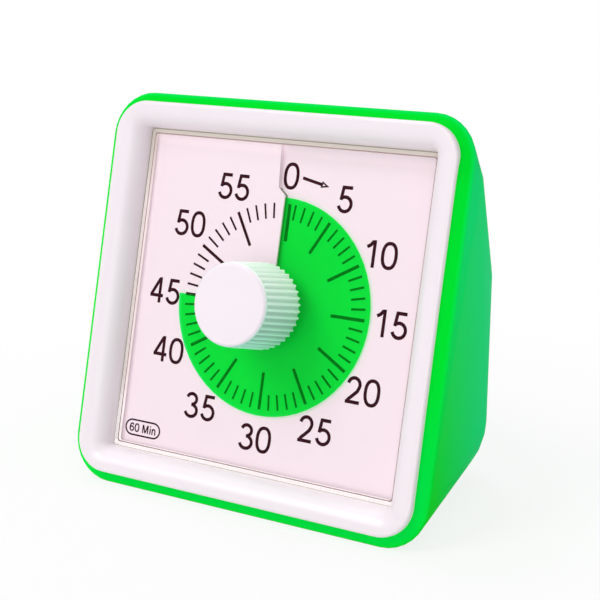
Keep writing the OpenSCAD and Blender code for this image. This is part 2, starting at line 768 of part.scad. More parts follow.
// Front half of the movement's case, with the spindle's bearing
module movement_front_case() {
    color("#3a3d42") into_face() {
        difference() {
            union() {
                case_half(move_z0, move_split_z, move_z0 + move_wall);
                translate([0, 0, bush_front]) cylinder(r = bush_r, h = move_z0 - bush_front + EPS);
                translate([0, 0, move_z0]) cylinder(r = bush_r, h = move_wall + 1.5);
            }
            translate([0, 0, bush_front - 1]) cylinder(r = spindle_r + run_gap, h = FAR / 10);
            for (p = move_screw_p)
                translate([p[0], -p[1], move_z0 - 1]) cylinder(r = screw_r + screw_gap, h = 5);
            for (p = [third_p, second_p, rotor_p])
                translate([p[0], -p[1], move_z0 + move_wall - pivot_l - 0.1])
                    cylinder(r = pivot_r + run_gap, h = 5);
        }
    }
}

// Rear half of the case, with the other bearings
module movement_rear_case() {
    floor_z = move_z1 - move_wall;
    color("#3a3d42") into_face() {
        difference() {
            translate([0, 0, move_split_z + move_z1]) rotate([180, 0, 0])
                case_half(move_split_z, move_z1, move_split_z + move_wall, false);
            translate([0, 0, floor_z - 1]) cylinder(r = spindle_r + run_gap, h = pivot_l + 1.1);
            for (p = [third_p, second_p, rotor_p])
                translate([p[0], -p[1], floor_z - 1]) cylinder(r = pivot_r + run_gap, h = pivot_l + 1.1);
        }
    }
}

// Open square box with its floor at z0
module case_half(z0, z1, floor_z, posts_on = true) {
    difference() {
        translate([-move_half, -move_half, z0]) cube([2 * move_half, 2 * move_half, z1 - z0]);
        translate([-move_half + move_wall, -move_half + move_wall, floor_z])
            cube([2 * (move_half - move_wall), 2 * (move_half - move_wall), z1]);
    }
    if (posts_on)
        for (p = move_screw_p)
            translate([p[0], -p[1], z0]) cylinder(r = 2.2, h = z1 - z0 - 0.5);
}

// Screws from the chassis into the movement
module movement_screws() {
    color("#b9bcc0") on_face()
        for (p = move_screw_p)
            translate([p[0], p[1], -chassis_z - head_sink]) screw(move_screw_l);
}

// Screws from the chassis into the housing's pillars
module chassis_screws() {
    color("#b9bcc0") on_face()
        for (p = chassis_screw_p)
            translate([p[0], p[1], -chassis_z]) screw(chassis_screw_l);
}

coil_y = 14.2;
coil_l = 20;
coil_z = move_z0 + move_wall + 3.3;

// Plastic former of the motor's coil
module coil_bobbin() {
    color("#e8e2d0") into_face() translate([-coil_l / 2 - 1, -coil_y, coil_z]) rotate([0, 90, 0])
        difference() {
            union() {
                cylinder(r = 1.3, h = coil_l);
                for (z = [0, coil_l - 0.8])
                    translate([0, 0, z]) cylinder(r = 2.9, h = 0.8);
            }
            translate([0, 0, -1]) cylinder(r = 0.8, h = coil_l + 2);
        }
}

// Copper winding on the former
module motor_coil() {
    color("#b5652b") into_face() translate([-coil_l / 2 - 0.2, -coil_y, coil_z]) rotate([0, 90, 0])
        difference() {
            cylinder(r = 2.6, h = coil_l - 1.6);
            translate([0, 0, -1]) cylinder(r = 1.3, h = coil_l);
        }
}

// Steel stator plate that reaches round the rotor's magnet, with the coil's core
module stator() {
    z0 = layer_rotor - 1.3;
    leg_x = coil_l / 2 + 1.6;
    color("#9a9da1") into_face() {
        difference() {
            union() {
                translate([-leg_x - 3, -rotor_p[1] - 3, z0])
                    cube([leg_x + 3 + rotor_p[0] + 4, 6, 0.7]);
                for (x = [-leg_x - 2.4, leg_x - 1])
                    translate([x, -coil_y - 1.5, z0]) cube([1.4, coil_y + 1.5 - rotor_p[1] - 1, 0.7]);
            }
            translate([rotor_p[0], -rotor_p[1], z0 - 1]) cylinder(r = 2.4, h = 3);
        }
        for (x = [-leg_x - 2.4, leg_x - 1])
            translate([x, -coil_y - 1, z0]) cube([1.4, 2, coil_z - z0 + 0.8]);
        translate([-leg_x - 2.4 + EPS, -coil_y, coil_z]) rotate([0, 90, 0])
            cylinder(r = 0.8, h = 2 * leg_x + 1.4);
    }
}

// Magnet with its pinion
module rotor() {
    color("#55585c") into_face() {
        wheel_and_pinion(rotor_p, rotor_teeth, layer_rotor, rotor_angle + 180 + 180 / rotor_teeth,
                         rotor_teeth, layer_rotor, rotor_angle + 180 + 180 / rotor_teeth);
        translate([rotor_p[0], -rotor_p[1], layer_rotor - 1.4]) cylinder(r = 1.9, h = 1);
        translate([rotor_p[0], -rotor_p[1], layer_rotor - 1.4]) cylinder(r = 0.8, h = 1.4);
    }
}

module second_wheel() {
    color("#efe9da") into_face()
        wheel_and_pinion(second_p, wheel_teeth, layer_rotor, rotor_angle, pinion_teeth, layer_second,
                         second_angle + 180 + 180 / pinion_teeth);
}

module third_wheel() {
    color("#efe9da") into_face()
        wheel_and_pinion(third_p, wheel_teeth, layer_second, second_angle, pinion_teeth, layer_centre,
                         third_angle + 180 + 180 / pinion_teeth);
}

// Wheel that turns once an hour. The clutch grips it between flange and spring.
module centre_wheel() {
    windows = 5;
    color("#d9b45a") into_face() translate([0, 0, layer_centre])
        difference() {
            rotate([0, 0, -third_angle]) gear(centre_teeth, gear_t);
            translate([0, 0, -1]) cylinder(r = spindle_r + run_gap, h = gear_t + 2);
            for (i = [0:windows - 1])
                rotate([0, 0, 360 * i / windows]) translate([5.4, 0, -1]) cylinder(r = 1.4, h = gear_t + 2);
        }
}

// Three-armed spring that presses the centre wheel against the flange
module clutch_spring() {
    z0 = layer_centre + gear_t;
    color("#c8a04a") into_face() translate([0, 0, z0])
        difference() {
            union() {
                cylinder(r = 2.4, h = spring_t);
                for (a = [90, 210, 330])
                    rotate([0, 0, a]) {
                        translate([0, -0.6, spring_t / 2]) cube([3.9, 1.2, spring_t / 2]);
                        translate([3.3, 0, 0]) cylinder(r = 0.6, h = spring_t);
                    }
            }
            translate([0, 0, -1]) cylinder(r = spindle_r + run_gap / 5, h = 3);
        }
}

// Collar pressed on the spindle to hold the spring
module clutch_collar() {
    color("#c9ccd0") into_face() translate([0, 0, layer_centre + gear_t + spring_t])
        difference() {
            cylinder(r = 2.4, h = collar_t);
            translate([0, 0, -1]) cylinder(r = spindle_r + run_gap / 5, h = 3);
        }
}

// ---- Battery ----

// Tray behind the back panel, open towards the door
module battery_tray() {
    color("#2f9e4d") on_back()
        difference() {
            translate([-tray_half_w - tray_wall, -cell_down - tray_half_h - tray_wall,
                       -tray_depth - tray_wall])
                cube([2 * (tray_half_w + tray_wall), 2 * (tray_half_h + tray_wall),
                      tray_depth + tray_wall - wall]);
            translate([-tray_half_w, -cell_down - tray_half_h, -tray_depth])
                cube([2 * tray_half_w, 2 * tray_half_h, tray_depth]);
            // room for the door's rolled edge and for a fingertip under the cell
            translate([-door_w / 2 - plate_gap, -door_pivot_down, -door_pivot_r]) rotate([0, 90, 0])
                cylinder(r = door_pivot_r + 2 * plate_gap, h = door_w + 2 * plate_gap);
            translate([-6, -cell_down, -tray_depth - tray_wall - 1])
                cube([12, tray_half_h * 0.7, tray_wall + 2]);
        }
}

// AA cell with its cap to the right, seen from behind
module battery_cell() {
    color("#c7862f") on_back()
        translate([-(cell_l + cap_l) / 2, -cell_down, -cell_depth]) rotate([0, 90, 0]) {
            cylinder(r = cell_r, h = cell_l);
            translate([0, 0, cell_l - EPS]) cylinder(r = 2.7, h = cap_l + EPS);
        }
}

// Coil spring at the cell's flat end, on its steel plate
module contact_spring() {
    turns = 3;
    coil_r = 4.2;
    top_coil_r = 2.6;
    sides = 8;
    per_turn = 14;
    wire = 0.3;
    plate = 0.4;
    free = contact_l - plate - 2 * wire - 0.1;
    n = turns * per_turn;
    line = [for (i = [0:n]) let (a = 360 * i / per_turn, r = coil_r + (top_coil_r - coil_r) * i / n)
        [r * cos(a), r * sin(a), plate + wire + 0.02 + free * i / n]];
    color("#c3c6c9") on_back()
        translate([-tray_half_w, -cell_down, -cell_depth]) rotate([0, 90, 0]) {
            contact_leaf(plate);
            coil_tube(line, wire, sides);
            translate([coil_r, 0, plate - EPS]) cylinder(r = wire, h = wire + 0.03, $fn = 16);
        }
}

// Tube along a line of points that climbs round the Z axis
module coil_tube(line, r, sides) {
    n = len(line);
    rings = [for (i = [0:n - 1], k = [0:sides - 1])
        let (o = unit([line[i][0], line[i][1], 0]), a = 360 * k / sides)
        line[i] + r * (cos(a) * o + sin(a) * [0, 0, 1])];
    walls = [for (i = [0:n - 2], k = [0:sides - 1]) let (m = (k + 1) % sides)
        each [[i * sides + k, i * sides + m, (i + 1) * sides + m],
              [i * sides + k, (i + 1) * sides + m, (i + 1) * sides + k]]];
    caps = [[for (k = [sides - 1:-1:0]) k], [for (k = [0:sides - 1]) (n - 1) * sides + k]];
    polyhedron(rings, concat(walls, caps));
}

// Square steel leaf that both contacts are made on
module contact_leaf(plate) {
    half = cell_r - 2.05;
    translate([-half, -half, 0]) cube([2 * half, 2 * half, plate]);
}

// Pressed steel contact at the cap
module contact_plate() {
    plate = 0.4;
    dimple = contact_l - plate - 0.1;
    color("#c3c6c9") on_back()
        translate([tray_half_w - plate, -cell_down, -cell_depth]) rotate([0, 90, 0]) {
            contact_leaf(plate);
            translate([0, 0, -dimple]) cylinder(r1 = 2, r2 = 3, h = dimple + EPS);
        }
}

// Door that follows the housing's surface and swings down on its lower edge
module battery_door() {
    color("#02e534") {
        intersection() {
            housing_form(0, 1);
            on_back()
                difference() {
                    translate([-door_w / 2, -door_pivot_down, -wall])
                        cube([door_w, door_h, FAR / 10]);
                    // finger groove near its upper edge
                    for (i = [0:2])
                        translate([-7, -door_pivot_down + door_h - 3 - 1.6 * i, 0.55]) rotate([0, 90, 0])
                            cylinder(r = 0.9, h = 14);
                }
        }
        on_back() {
            translate([-door_w / 2, -door_pivot_down, -door_pivot_r]) rotate([0, 90, 0])
                cylinder(r = door_pivot_r, h = door_w);
            translate([-door_w / 2 - door_pin_l, -door_pivot_down, -door_pivot_r])
                rotate([0, 90, 0]) cylinder(r = door_pin_r, h = door_w + 2 * door_pin_l);
            // ribs that stiffen the door inside the tray
            for (x = [8 - door_w / 2, door_w / 2 - 8])
                translate([x, -door_pivot_down + 2.5, -wall - 0.25]) cube([1, door_h - 6, 0.26]);
        }
    }
}

// ---- Electronics ----

module circuit_board() {
    color("#1d7a45") on_back()
        difference() {
            translate([-board_w / 2, -panel_down - board_h / 2, -board_d - board_t])
                cube([board_w, board_h, board_t]);
            for (x = [-1, 1])
                translate([x * board_screw_x, -panel_down, -board_d - board_t - 1])
                    cylinder(r = screw_r + 0.1, h = board_t + 2);
        }
}

module board_screws() {
    color("#b9bcc0") on_back()
        for (x = [-1, 1])
            translate([x * board_screw_x, -panel_down, -board_d - board_t]) rotate([180, 0, 0])
                screw(4.2);
}

module control_chip() {
    color("#1c1d20") on_back()
        translate([4, -panel_down - 2.5, -board_d - board_t - 1.4]) {
            cube([8, 5, 1.4]);
            for (i = [0:3], y = [-0.8, 5 - EPS])
                translate([0.8 + 1.9 * i, y, 1.1]) cube([0.7, 0.8 + EPS, 0.3]);
        }
}

module quartz_can() {
    color("#c9ccd0") on_back()
        translate([-13, -panel_down, -board_d - board_t - 1.5]) rotate([0, 90, 0])
            cylinder(r = 1.5, h = 7);
}

module buzzer() {
    top = -wall - board_gap;
    color("#202226") on_back()
        difference() {
            translate([0, -panel_down, -board_d]) cylinder(r = buzzer_r, h = top + board_d);
            translate([0, -panel_down, top - 1]) cylinder(r = 1.2, h = 2);
        }
}

// Metal can of a slide switch, open on top along the button's travel
module switch_can(x, travel) {
    color("#b9bcc0") on_back() translate([x, -panel_down, -board_d])
        difference() {
            translate([-switch_body[0] / 2, -switch_body[1] / 2, 0]) cube(switch_body);
            translate([-(travel + button_w) / 2 - 0.2, -button_w / 2 - 0.2, 1.2])
                cube([travel + button_w + 0.4, button_w + 0.4, 5]);
        }
}

// Button of a slide switch, which stands out through the housing's slot
module switch_button(x) {
    color("#f3f0ea") on_back()
        translate([x - button_w / 2, -panel_down - button_w / 2, -board_d + 1.3]) {
            cube([button_w, button_w, board_d - 1.3 + button_out - 0.4]);
            for (i = [0:2])
                translate([i * (button_w - 0.5) / 2, 0, 0])
                    cube([0.5, button_w, board_d - 1.3 + button_out]);
        }
}

module volume_switch() switch_can(switch_x, volume_travel);
module volume_button() switch_button(switch_x);
module alarm_switch() switch_can(-switch_x, alarm_travel);
module alarm_button() switch_button(-switch_x - alarm_travel / 2);

// Leads, in the frame of the back: X, Y up, Z out
lead_r = 0.45;
tray_end = [tray_half_w + tray_wall + lead_r + 0.1, 6 - cell_down, -12];
pad_in = 4;                 // from a board screw to the lead beside it
pad = [board_screw_x - pad_in, -panel_down - 1.6, -board_d - board_t - lead_r - 0.05];
red_route = [tray_end, tray_end + [1, 3, -0.5], tray_end + [-0.6, 6, 0],
             pad + [6.5, -1, -2.3], pad + [2, 0, -1.3], pad];
black_route = [for (p = red_route) [-p[0], p[1], p[2]]];
motor_pad = [2 * pad_in - board_screw_x, 4 - panel_down, pad[2]];
motor_route = [motor_pad, motor_pad + [0, 0.8, -1.3], motor_pad + [1, 3.4, -2.3],
               motor_pad + [3, 6.4, -2.7], motor_pad + [5, 8.4, -3.2]];

module battery_lead_red() {
    color("#c4281f") on_back() lead(red_route, lead_r);
}

module battery_lead_black() {
    color("#26272b") on_back() lead(black_route, lead_r);
}

module motor_leads() {
    color("#d8b13a") on_back()
        for (x = [0, 1.6])
            translate([x, 0, 0]) lead(motor_route, lead_r);
}

rear_housing();
front_bezel();
lens();
dial_card();
chassis_plate();
chassis_screws();
movement_front_case();
movement_rear_case();
movement_screws();
motor_coil();
coil_bobbin();
stator();
rotor();
second_wheel();
third_wheel();
centre_wheel();
clutch_spring();
clutch_collar();
spindle();
knob();
disc_hub();
time_disc();
battery_tray();
battery_cell();
contact_spring();
contact_plate();
battery_door();
circuit_board();
board_screws();
control_chip();
quartz_can();
buzzer();
volume_switch();
volume_button();
alarm_switch();
alarm_button();
battery_lead_red();
battery_lead_black();
motor_leads();
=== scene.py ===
"""Looks of a visual countdown timer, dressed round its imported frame. Sizes are in millimetres."""

import json
import math

import bmesh
import bpy
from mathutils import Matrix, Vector


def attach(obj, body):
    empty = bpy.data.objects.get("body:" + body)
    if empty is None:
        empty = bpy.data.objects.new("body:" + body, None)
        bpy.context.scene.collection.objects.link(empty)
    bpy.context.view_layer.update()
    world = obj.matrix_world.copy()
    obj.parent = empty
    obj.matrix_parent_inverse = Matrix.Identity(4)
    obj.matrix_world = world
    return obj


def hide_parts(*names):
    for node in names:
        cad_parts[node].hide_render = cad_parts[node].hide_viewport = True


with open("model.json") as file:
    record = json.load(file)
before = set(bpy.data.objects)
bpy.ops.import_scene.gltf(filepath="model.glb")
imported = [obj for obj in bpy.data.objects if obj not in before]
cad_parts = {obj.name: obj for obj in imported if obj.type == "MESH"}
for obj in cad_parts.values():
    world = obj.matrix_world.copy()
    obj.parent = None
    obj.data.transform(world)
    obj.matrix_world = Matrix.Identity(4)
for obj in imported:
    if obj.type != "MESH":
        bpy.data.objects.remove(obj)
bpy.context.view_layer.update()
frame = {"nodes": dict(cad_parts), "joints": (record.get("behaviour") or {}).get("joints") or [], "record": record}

bl_info = {
    "name": "Visual countdown timer",
    "version": (1, 0, 0),
    "blender": (4, 5, 0),
    "location": "View3D > Sidebar > Timer",
    "description": "Dresses the packed timer: printed dial, film disc, mouldings and a pale studio",
    "category": "Object",
}

MM = 0.001

# ---- The dial's own frame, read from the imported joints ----

JOINTS = {j["name"]: j for j in frame["joints"]}
COUPLINGS = {c["joint"]: c for c in frame["record"]["behaviour"]["couplings"]}
OUT = -Vector(JOINTS["knob_turn"]["axis"]).normalized()
RIGHT = Vector((1, 0, 0))
UP = OUT.cross(RIGHT)
DIAL_CENTRE = Vector(JOINTS["knob_turn"]["pos_m"])
PITCH = COUPLINGS["disc_lift"]["ratio"] * 2 * math.pi / MM

# beyond this radius, the last few degrees of the card lie at its lower level
NOTCH_R = 23.5
NOTCH_ANGLE = 4.0


def on_face(x, y, h):
    """Point in metres: x to the right, y up the dial and h out of it, in millimetres."""
    return DIAL_CENTRE + (RIGHT * x + UP * y + OUT * h) * MM


def face_points(node):
    """(x, y, h) of each vertex of a CAD node in the dial's frame, in millimetres."""
    points = [v.co - DIAL_CENTRE for v in frame["nodes"][node].data.vertices]
    return [tuple(p.dot(axis) / MM for axis in (RIGHT, UP, OUT)) for p in points]


def face_extent(node):
    """Least and greatest (x, y, h) of a CAD node in the dial's frame, in millimetres."""
    spans = list(zip(*face_points(node)))
    return [min(s) for s in spans], [max(s) for s in spans]


# ---- Settings ----


def number(name, text, default, **options):
    return bpy.props.FloatProperty(name=name, description=text, default=default, **options)


def length(name, text, default):
    return number(name, text + ", in mm", default, min=0.0)


def colour(name, text, hex_value):
    text += ", as an sRGB hex value"
    return bpy.props.StringProperty(name=name, description=text, default=hex_value)


# where the middle of each numeral is printed, in mm from the dial's axis
NUMERALS = {
    0: (0.3, 27.1), 5: (13.45, 23.5), 10: (22.8, 13.4), 15: (27.0, 0.1), 20: (23.05, -13.9),
    25: (13.5, -23.4), 30: (-0.1, -27.4), 35: (-14.4, -23.2), 40: (-24.1, -12.5), 45: (-26.8, -0.1),
    50: (-22.45, 14.9), 55: (-12.55, 23.6),
}
# where the arrow starts and ends, and where the middle of the range mark is
ARROW_TAIL = (3.05, 26.95)
ARROW_TIP = (9.3, 25.65)
RANGE_MARK = (-28.2, -30.4)


class TimerPrint(bpy.types.PropertyGroup):
    """What is printed on the dial card."""

    mark_r: length("Marks, outer radius", "Outer radius of the minute marks", 21.35)
    minute_r: length("Minute marks, inner radius", "Inner radius of a minute mark", 18.15)
    five_r: length("Five-minute marks, inner radius", "Inner radius of each fifth mark", 13.66)
    minute_w: length("Minute marks, width", "Width of a minute mark", 0.46)
    five_w: length("Five-minute marks, width", "Width of each fifth mark", 0.68)
    zero_w: length("Zero mark, width", "Width of the mark at 0", 0.78)
    zero_x: length("Zero mark, offset", "Distance of the zero mark from the card's slit", 0.78)
    numeral_h: length("Numerals, height", "Height of the numerals", 5.5)
    arrow_w: length("Arrow, shaft width", "Width of the arrow's shaft", 0.66)
    arrow_head_l: length("Arrow, head length", "Length of the arrow's head", 1.6)
    arrow_head_w: length("Arrow, head width", "Width across the arrow's head", 0.95)
    arrow_inset: length("Arrow, inset", "How far the line at its point lies inside the tip", 0.3)
    arrow_line_w: length("Arrow, head line", "Width of the line round its head", 0.34)
    range_w: length("Range mark, width", "Width of the outline round the range mark", 8.9)
    range_h: length("Range mark, height", "Height of the outline round the range mark", 3.24)
    range_line_w: length("Range mark, line", "Width of the range mark's outline", 0.36)
    range_text_h: length("Range mark, letters", "Height of the range mark's letters", 1.8)
    ink_h: length("Ink, height", "Height of the ink above the card", 0.015)


class TimerForm(bpy.types.PropertyGroup):
    """Mouldings that are drawn finer than the frame has them."""

    frame_corner_r: length("Frame, corner radius", "Outer corner radius of the white frame", 6.9)
    frame_edge_r: length("Frame, edge rounding", "Rounding of the frame's outer front edge", 0.6)
    frame_gap: length("Frame, fit", "How far the frame fills the gap to the housing", 0.12)
    frame_reach: length("Frame, reach", "How much further the frame's sides reach over the rim", 0.3)
    lens_corner_r: length("Lens seat, corner radius", "Corner radius of the lens seat", 0.8)
    roll_corner_r: length("Rolled border, corner radius", "Corner radius at the border's crest", 5.7)
    ledge_corner_r: length("Ledge, corner radius", "Corner radius of the ledge", 0.6)
    collar_corner_r: length("Collar, corner radius", "Corner radius of the frame's back", 1.5)
    lens_gap: length("Lens seat, gap", "Gap between the lens and its seat", 0.2)
    roll_w: length("Rolled border, width", "Width of the border that rolls in to the lens", 4.45)
    ledge_w: length("Ledge, width", "Visible width of the ledge round the window", 1.15)
    # the two lines round the ledge are painted shadow
    line_w: length("Ledge, outer line", "Width of the shadow line round the edge of the lens", 0.16)
    window_line_w: length("Ledge, inner line", "Width of the shadow line at the window", 0.24)
    lens_seat: length("Lens seat, depth", "Depth of the lens seat below the border", 1.25)
    collar_w: length("Collar, width", "Wall of the frame round the lens", 2.0)
    seat_h: length("Frame, seat", "Height of the housing's step that the frame lies on", 4.3)
    knob_ribs: bpy.props.IntProperty(
        name="Knob, ribs", description="Number of grip ribs", default=40, min=12, max=80
    )
    knob_rib_d: length("Knob, rib depth", "Depth of the grip ribs", 0.5)
    knob_edge_r: length("Knob, edge rounding", "Rounding of the knob's face", 0.9)
    knob_cap_h: length("Knob, cap height", "Height of the smooth cap at the knob's face", 0.95)
    knob_neck_r: length("Knob, neck radius", "Radius of the neck under the knob", 4.5)
    knob_neck_l: length("Knob, neck length", "Length of the neck under the knob", 1.1)


class TimerColours(bpy.types.PropertyGroup):
    """Colours of the pieces that show."""

    green: colour("Green, rim", "Housing's rim round the frame", "#02ea33")
    # the rim's top and foot colours are painted shade and painted cool light on the one green
    rim_high: colour("Green, rim's top", "The same along its upper edge", "#02dd2d")
    rim_low: colour("Green, rim's foot", "The same along its lower edge", "#04e848")
    # the sides' colours are painted light: lighter and bluer up the sides, and bluer still towards the back as a
    # painted cool reflection
    green_high: colour("Green, upper side", "Housing's sides and top behind the rim", "#14ee7c")
    green_low: colour("Green, lower side", "Housing's sides near the table", "#0ee628")
    green_back: colour("Green, back", "Housing towards its back", "#0ceeb2")
    film: colour("Film", "Light that the green film disc lets through", "#04ff42")
    white: colour("White", "Front frame", "#efe6ec")
    # the ledge's colours are painted light and shade: the band darker at the top and lighter at the foot, and two
    # painted shadow lines, the outer lighter and the inner darker at the foot
    ledge: colour("Ledge", "Ledge under the edge of the lens", "#fbf0ec")
    ledge_high: colour("Ledge, upper side", "The same at the top, which light reaches least", "#dad1c8")
    ledge_low: colour("Ledge, lower side", "The same at the foot, which light reaches best", "#fffaf8")
    outer_line: colour("Ledge, outer line", "Shadow line round the edge of the lens", "#a8a58a")
    outer_low: colour("Ledge, lower outer line", "The same at the lower edge", "#ddd6cc")
    inner_line: colour("Ledge, inner line", "Shadow line at the window", "#bc9fa0")
    inner_low: colour("Ledge, lower inner line", "The same at the window's lower edge", "#8f6a66")
    knob: colour("Knob", "Turning knob", "#ece2ea")
    # ridge, groove and under are painted light and shade: a faint green bounce on the crests, shade in the
    # grooves, and a green bounce on the underside
    ridge: colour("Knob, ribs", "Crests of the knob's ribs", "#f4fff8")
    groove: colour("Knob, grooves", "Depth of the knob's grooves", "#b8c6c2")
    under: colour("Knob, underside", "Tint that the disc casts on the knob's underside", "#ccfff4")
    card: colour("Card", "Dial card", "#f7e5ed")
    ink: colour("Ink", "Marks and numerals", "#38101c")


class TimerStage(bpy.types.PropertyGroup):
    """Camera, lamps and surroundings."""

    azimuth: number("Camera azimuth", "Angle to the right of the front", math.radians(31.76), subtype="ANGLE")
    elevation: number("Camera elevation", "Angle above the dial", math.radians(15.05), subtype="ANGLE")
    distance: length("Camera distance", "Distance from the dial's middle", 290.2)
    focal: length("Focal length", "Focal length on a 36 mm sensor", 84.56)
    aim: bpy.props.FloatVectorProperty(
        name="Aim", description="Point looked at, from the dial's middle, in mm", size=3,
        default=(4.44, 3.17, 1.33),
    )
    lamps: number("Lamps", "Strength of all lamps, as a share of their own", 1.0, min=0.0)
    fill: number("Fill", "Strength of the surroundings", 0.55, min=0.0)


GROUPS = {
    "timer_print": TimerPrint,
    "timer_form": TimerForm,
    "timer_colours": TimerColours,
    "timer_stage": TimerStage,
}


# ---- Stage ----

# each soft lamp: its place from the housing's middle at the dial's height, its width, and its power in W
SOFTBOXES = {
    "key_softbox": ((-450, -750, 900), 600, 5.3),
    "top_softbox": ((100, -100, 950), 800, 0.6),
    "front_softbox": ((300, -950, 200), 600, 1.9),
    "rear_softbox": ((-400, 300, 900), 400, 1.6),
}
SENSOR_W = 36.0
FLOOR_HALF = 1600
# round the timer, the floor fades to full white between these distances
FADE_STARTS = 55
FADE_ENDS = 150

# ---- Meshes ----

# points closer than this are one, and faces that turn by less than this are flat
MERGE_MM = 0.002
FLAT_ANGLE = 0.15
# faces that turn by more than this meet at a sharp edge
SOFT_EDGE_ANGLE = 32.0
FRAME_EDGE_ANGLE = 40.0
# how far from a measured edge its vertices are looked for
WINDOW_MARGIN = 0.1
RIDGE_MARGIN = 0.05
# steps of a rounded corner, of the frame's rounded edge and of its rolled border
CORNER_STEPS = 12
EDGE_STEPS = 6
ROLL_STEPS = 20

# how far the finer knob stays inside the solid
KNOB_WITHIN = 0.02
# the rings below the grip: how far inside its side, and how high above its foot
KNOB_FOOT = ((0.3, 0.0), (0.05, 0.25))
# the grip's rings start this high above its foot and end this far below the cap
KNOB_SIDE_STARTS = 0.5
KNOB_SIDE_ENDS = 0.4
SIDE_RINGS = 6
# the rings where the grooves run out into the cap: inset, height, and share of their depth
KNOB_RUN_OUT = ((0.04, -0.15, 0.75), (0.08, 0.1, 0.25), (0.1, 0.3, 0.0))
KNOB_EDGE_STEPS = 7
RIB_SAMPLES = 10
# shares: the radius of the face's innermost ring, and the height at which the face begins
FACE_SHARE = 0.5
NEAR_FACE_SHARE = 0.85


def add_object(name, data):
    """New object in the scene."""
    thing = bpy.data.objects.new(name, data)
    bpy.context.scene.collection.objects.link(thing)
    return thing


def mark_edges(bm, angle):
    """Keeps those edges sharp at which faces turn by more than an angle in degrees."""
    for edge in bm.edges:
        edge.smooth = len(edge.link_faces) == 2 and edge.calc_face_angle() < math.radians(angle)


def add_mesh(name, verts, faces, material, body, smooth=True):
    """New piece from points in metres, which rides on a body."""
    mesh = bpy.data.meshes.new(name)
    mesh.from_pydata([tuple(v) for v in verts], [], faces)
    mesh.validate()
    bm = bmesh.new()
    bm.from_mesh(mesh)
    bmesh.ops.recalc_face_normals(bm, faces=bm.faces)
    bm.to_mesh(mesh)
    bm.free()
    mesh.materials.append(material)
    mesh.polygons.foreach_set("use_smooth", [smooth] * len(mesh.polygons))
    piece = add_object(name, mesh)
    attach(piece, body)
    return piece


def smooth_copy(node, material, body):
    """A finer-shaded stand-in for a CAD node, with the node's own shape."""
    mesh = frame["nodes"][node].data.copy()
    mesh.name = node + "_moulding"
    bm = bmesh.new()
    bm.from_mesh(mesh)
    bmesh.ops.remove_doubles(bm, verts=bm.verts, dist=MERGE_MM * MM)
    bmesh.ops.dissolve_limit(bm, angle_limit=math.radians(FLAT_ANGLE), verts=bm.verts, edges=bm.edges)
    mark_edges(bm, SOFT_EDGE_ANGLE)
    for face in bm.faces:
        face.smooth = True
    bm.to_mesh(mesh)
    bm.free()
    mesh.materials.clear()
    mesh.materials.append(material)
    piece = add_object(node + "_moulding", mesh)
    weights = piece.modifiers.new("Even shading", "WEIGHTED_NORMAL")
    weights.keep_sharp = True
    weights.weight = 100
    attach(piece, body)
    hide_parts(node)


def dress(material, *nodes):
    """Gives CAD nodes that are shown as they are their finish."""
    for node in nodes:
        mesh = frame["nodes"][node].data
        mesh.materials.clear()
        mesh.materials.append(material)


def look_at(thing, target):
    """Turns a lamp or the camera to a point."""
    thing.rotation_euler = (target - thing.location).to_track_quat("-Z", "Y").to_euler()


def arc(cx, cy, rx, ry, start, end, steps):
    """Points of an elliptical arc, with angles in degrees."""
    return [
        (
            cx + rx * math.cos(math.radians(start + (end - start) * s / steps)),
            cy + ry * math.sin(math.radians(start + (end - start) * s / steps)),
        )
        for s in range(steps + 1)
    ]


def loft(rings, closed):
    """Quads between rings of equal length, and from the last to the first if closed."""
    size = len(rings[0])
    verts = [p for ring in rings for p in ring]
    faces = []
    for i in range(len(rings) if closed else len(rings) - 1):
        low = i * size
        high = (i + 1) % len(rings) * size
        for k in range(size):
            m = (k + 1) % size
            faces.append((low + k, low + m, high + m, high + k))
    return verts, faces


def rounded_ring(left, right, down, up, r, h):
    """Rounded rectangle in the dial's frame, counter-clockwise."""
    corners = [
        (right - r, up - r, 0), (left + r, up - r, 90),
        (left + r, down + r, 180), (right - r, down + r, 270),
    ]
    return [
        on_face(x, y, h)
        for cx, cy, start in corners
        for x, y in arc(cx, cy, r, r, start, start + 90, CORNER_STEPS)
    ]


# ---- Lettering, drawn with a pen of constant width on a body of height 1 ----


# power of the superellipse, where 2 would give an ellipse
BOWL_POWER = 2.35


def bowl(cx, cy, rx, ry, start, end, steps):
    """Points of an arc on a superellipse, which is a little squarer than an ellipse."""
    points = []
    for x, y in arc(0, 0, 1, 1, start, end, steps):
        points.append((
            cx + rx * math.copysign(abs(x) ** (2 / BOWL_POWER), x),
            cy + ry * math.copysign(abs(y) ** (2 / BOWL_POWER), y),
        ))
    return points


# width of the pen for the numerals and for small letters, and gap between letters
PEN = 0.131
BOLD_PEN = 0.17
LETTER_GAP = 0.095
# the longest mitre is half the width of the line over this
MITRE = 0.38
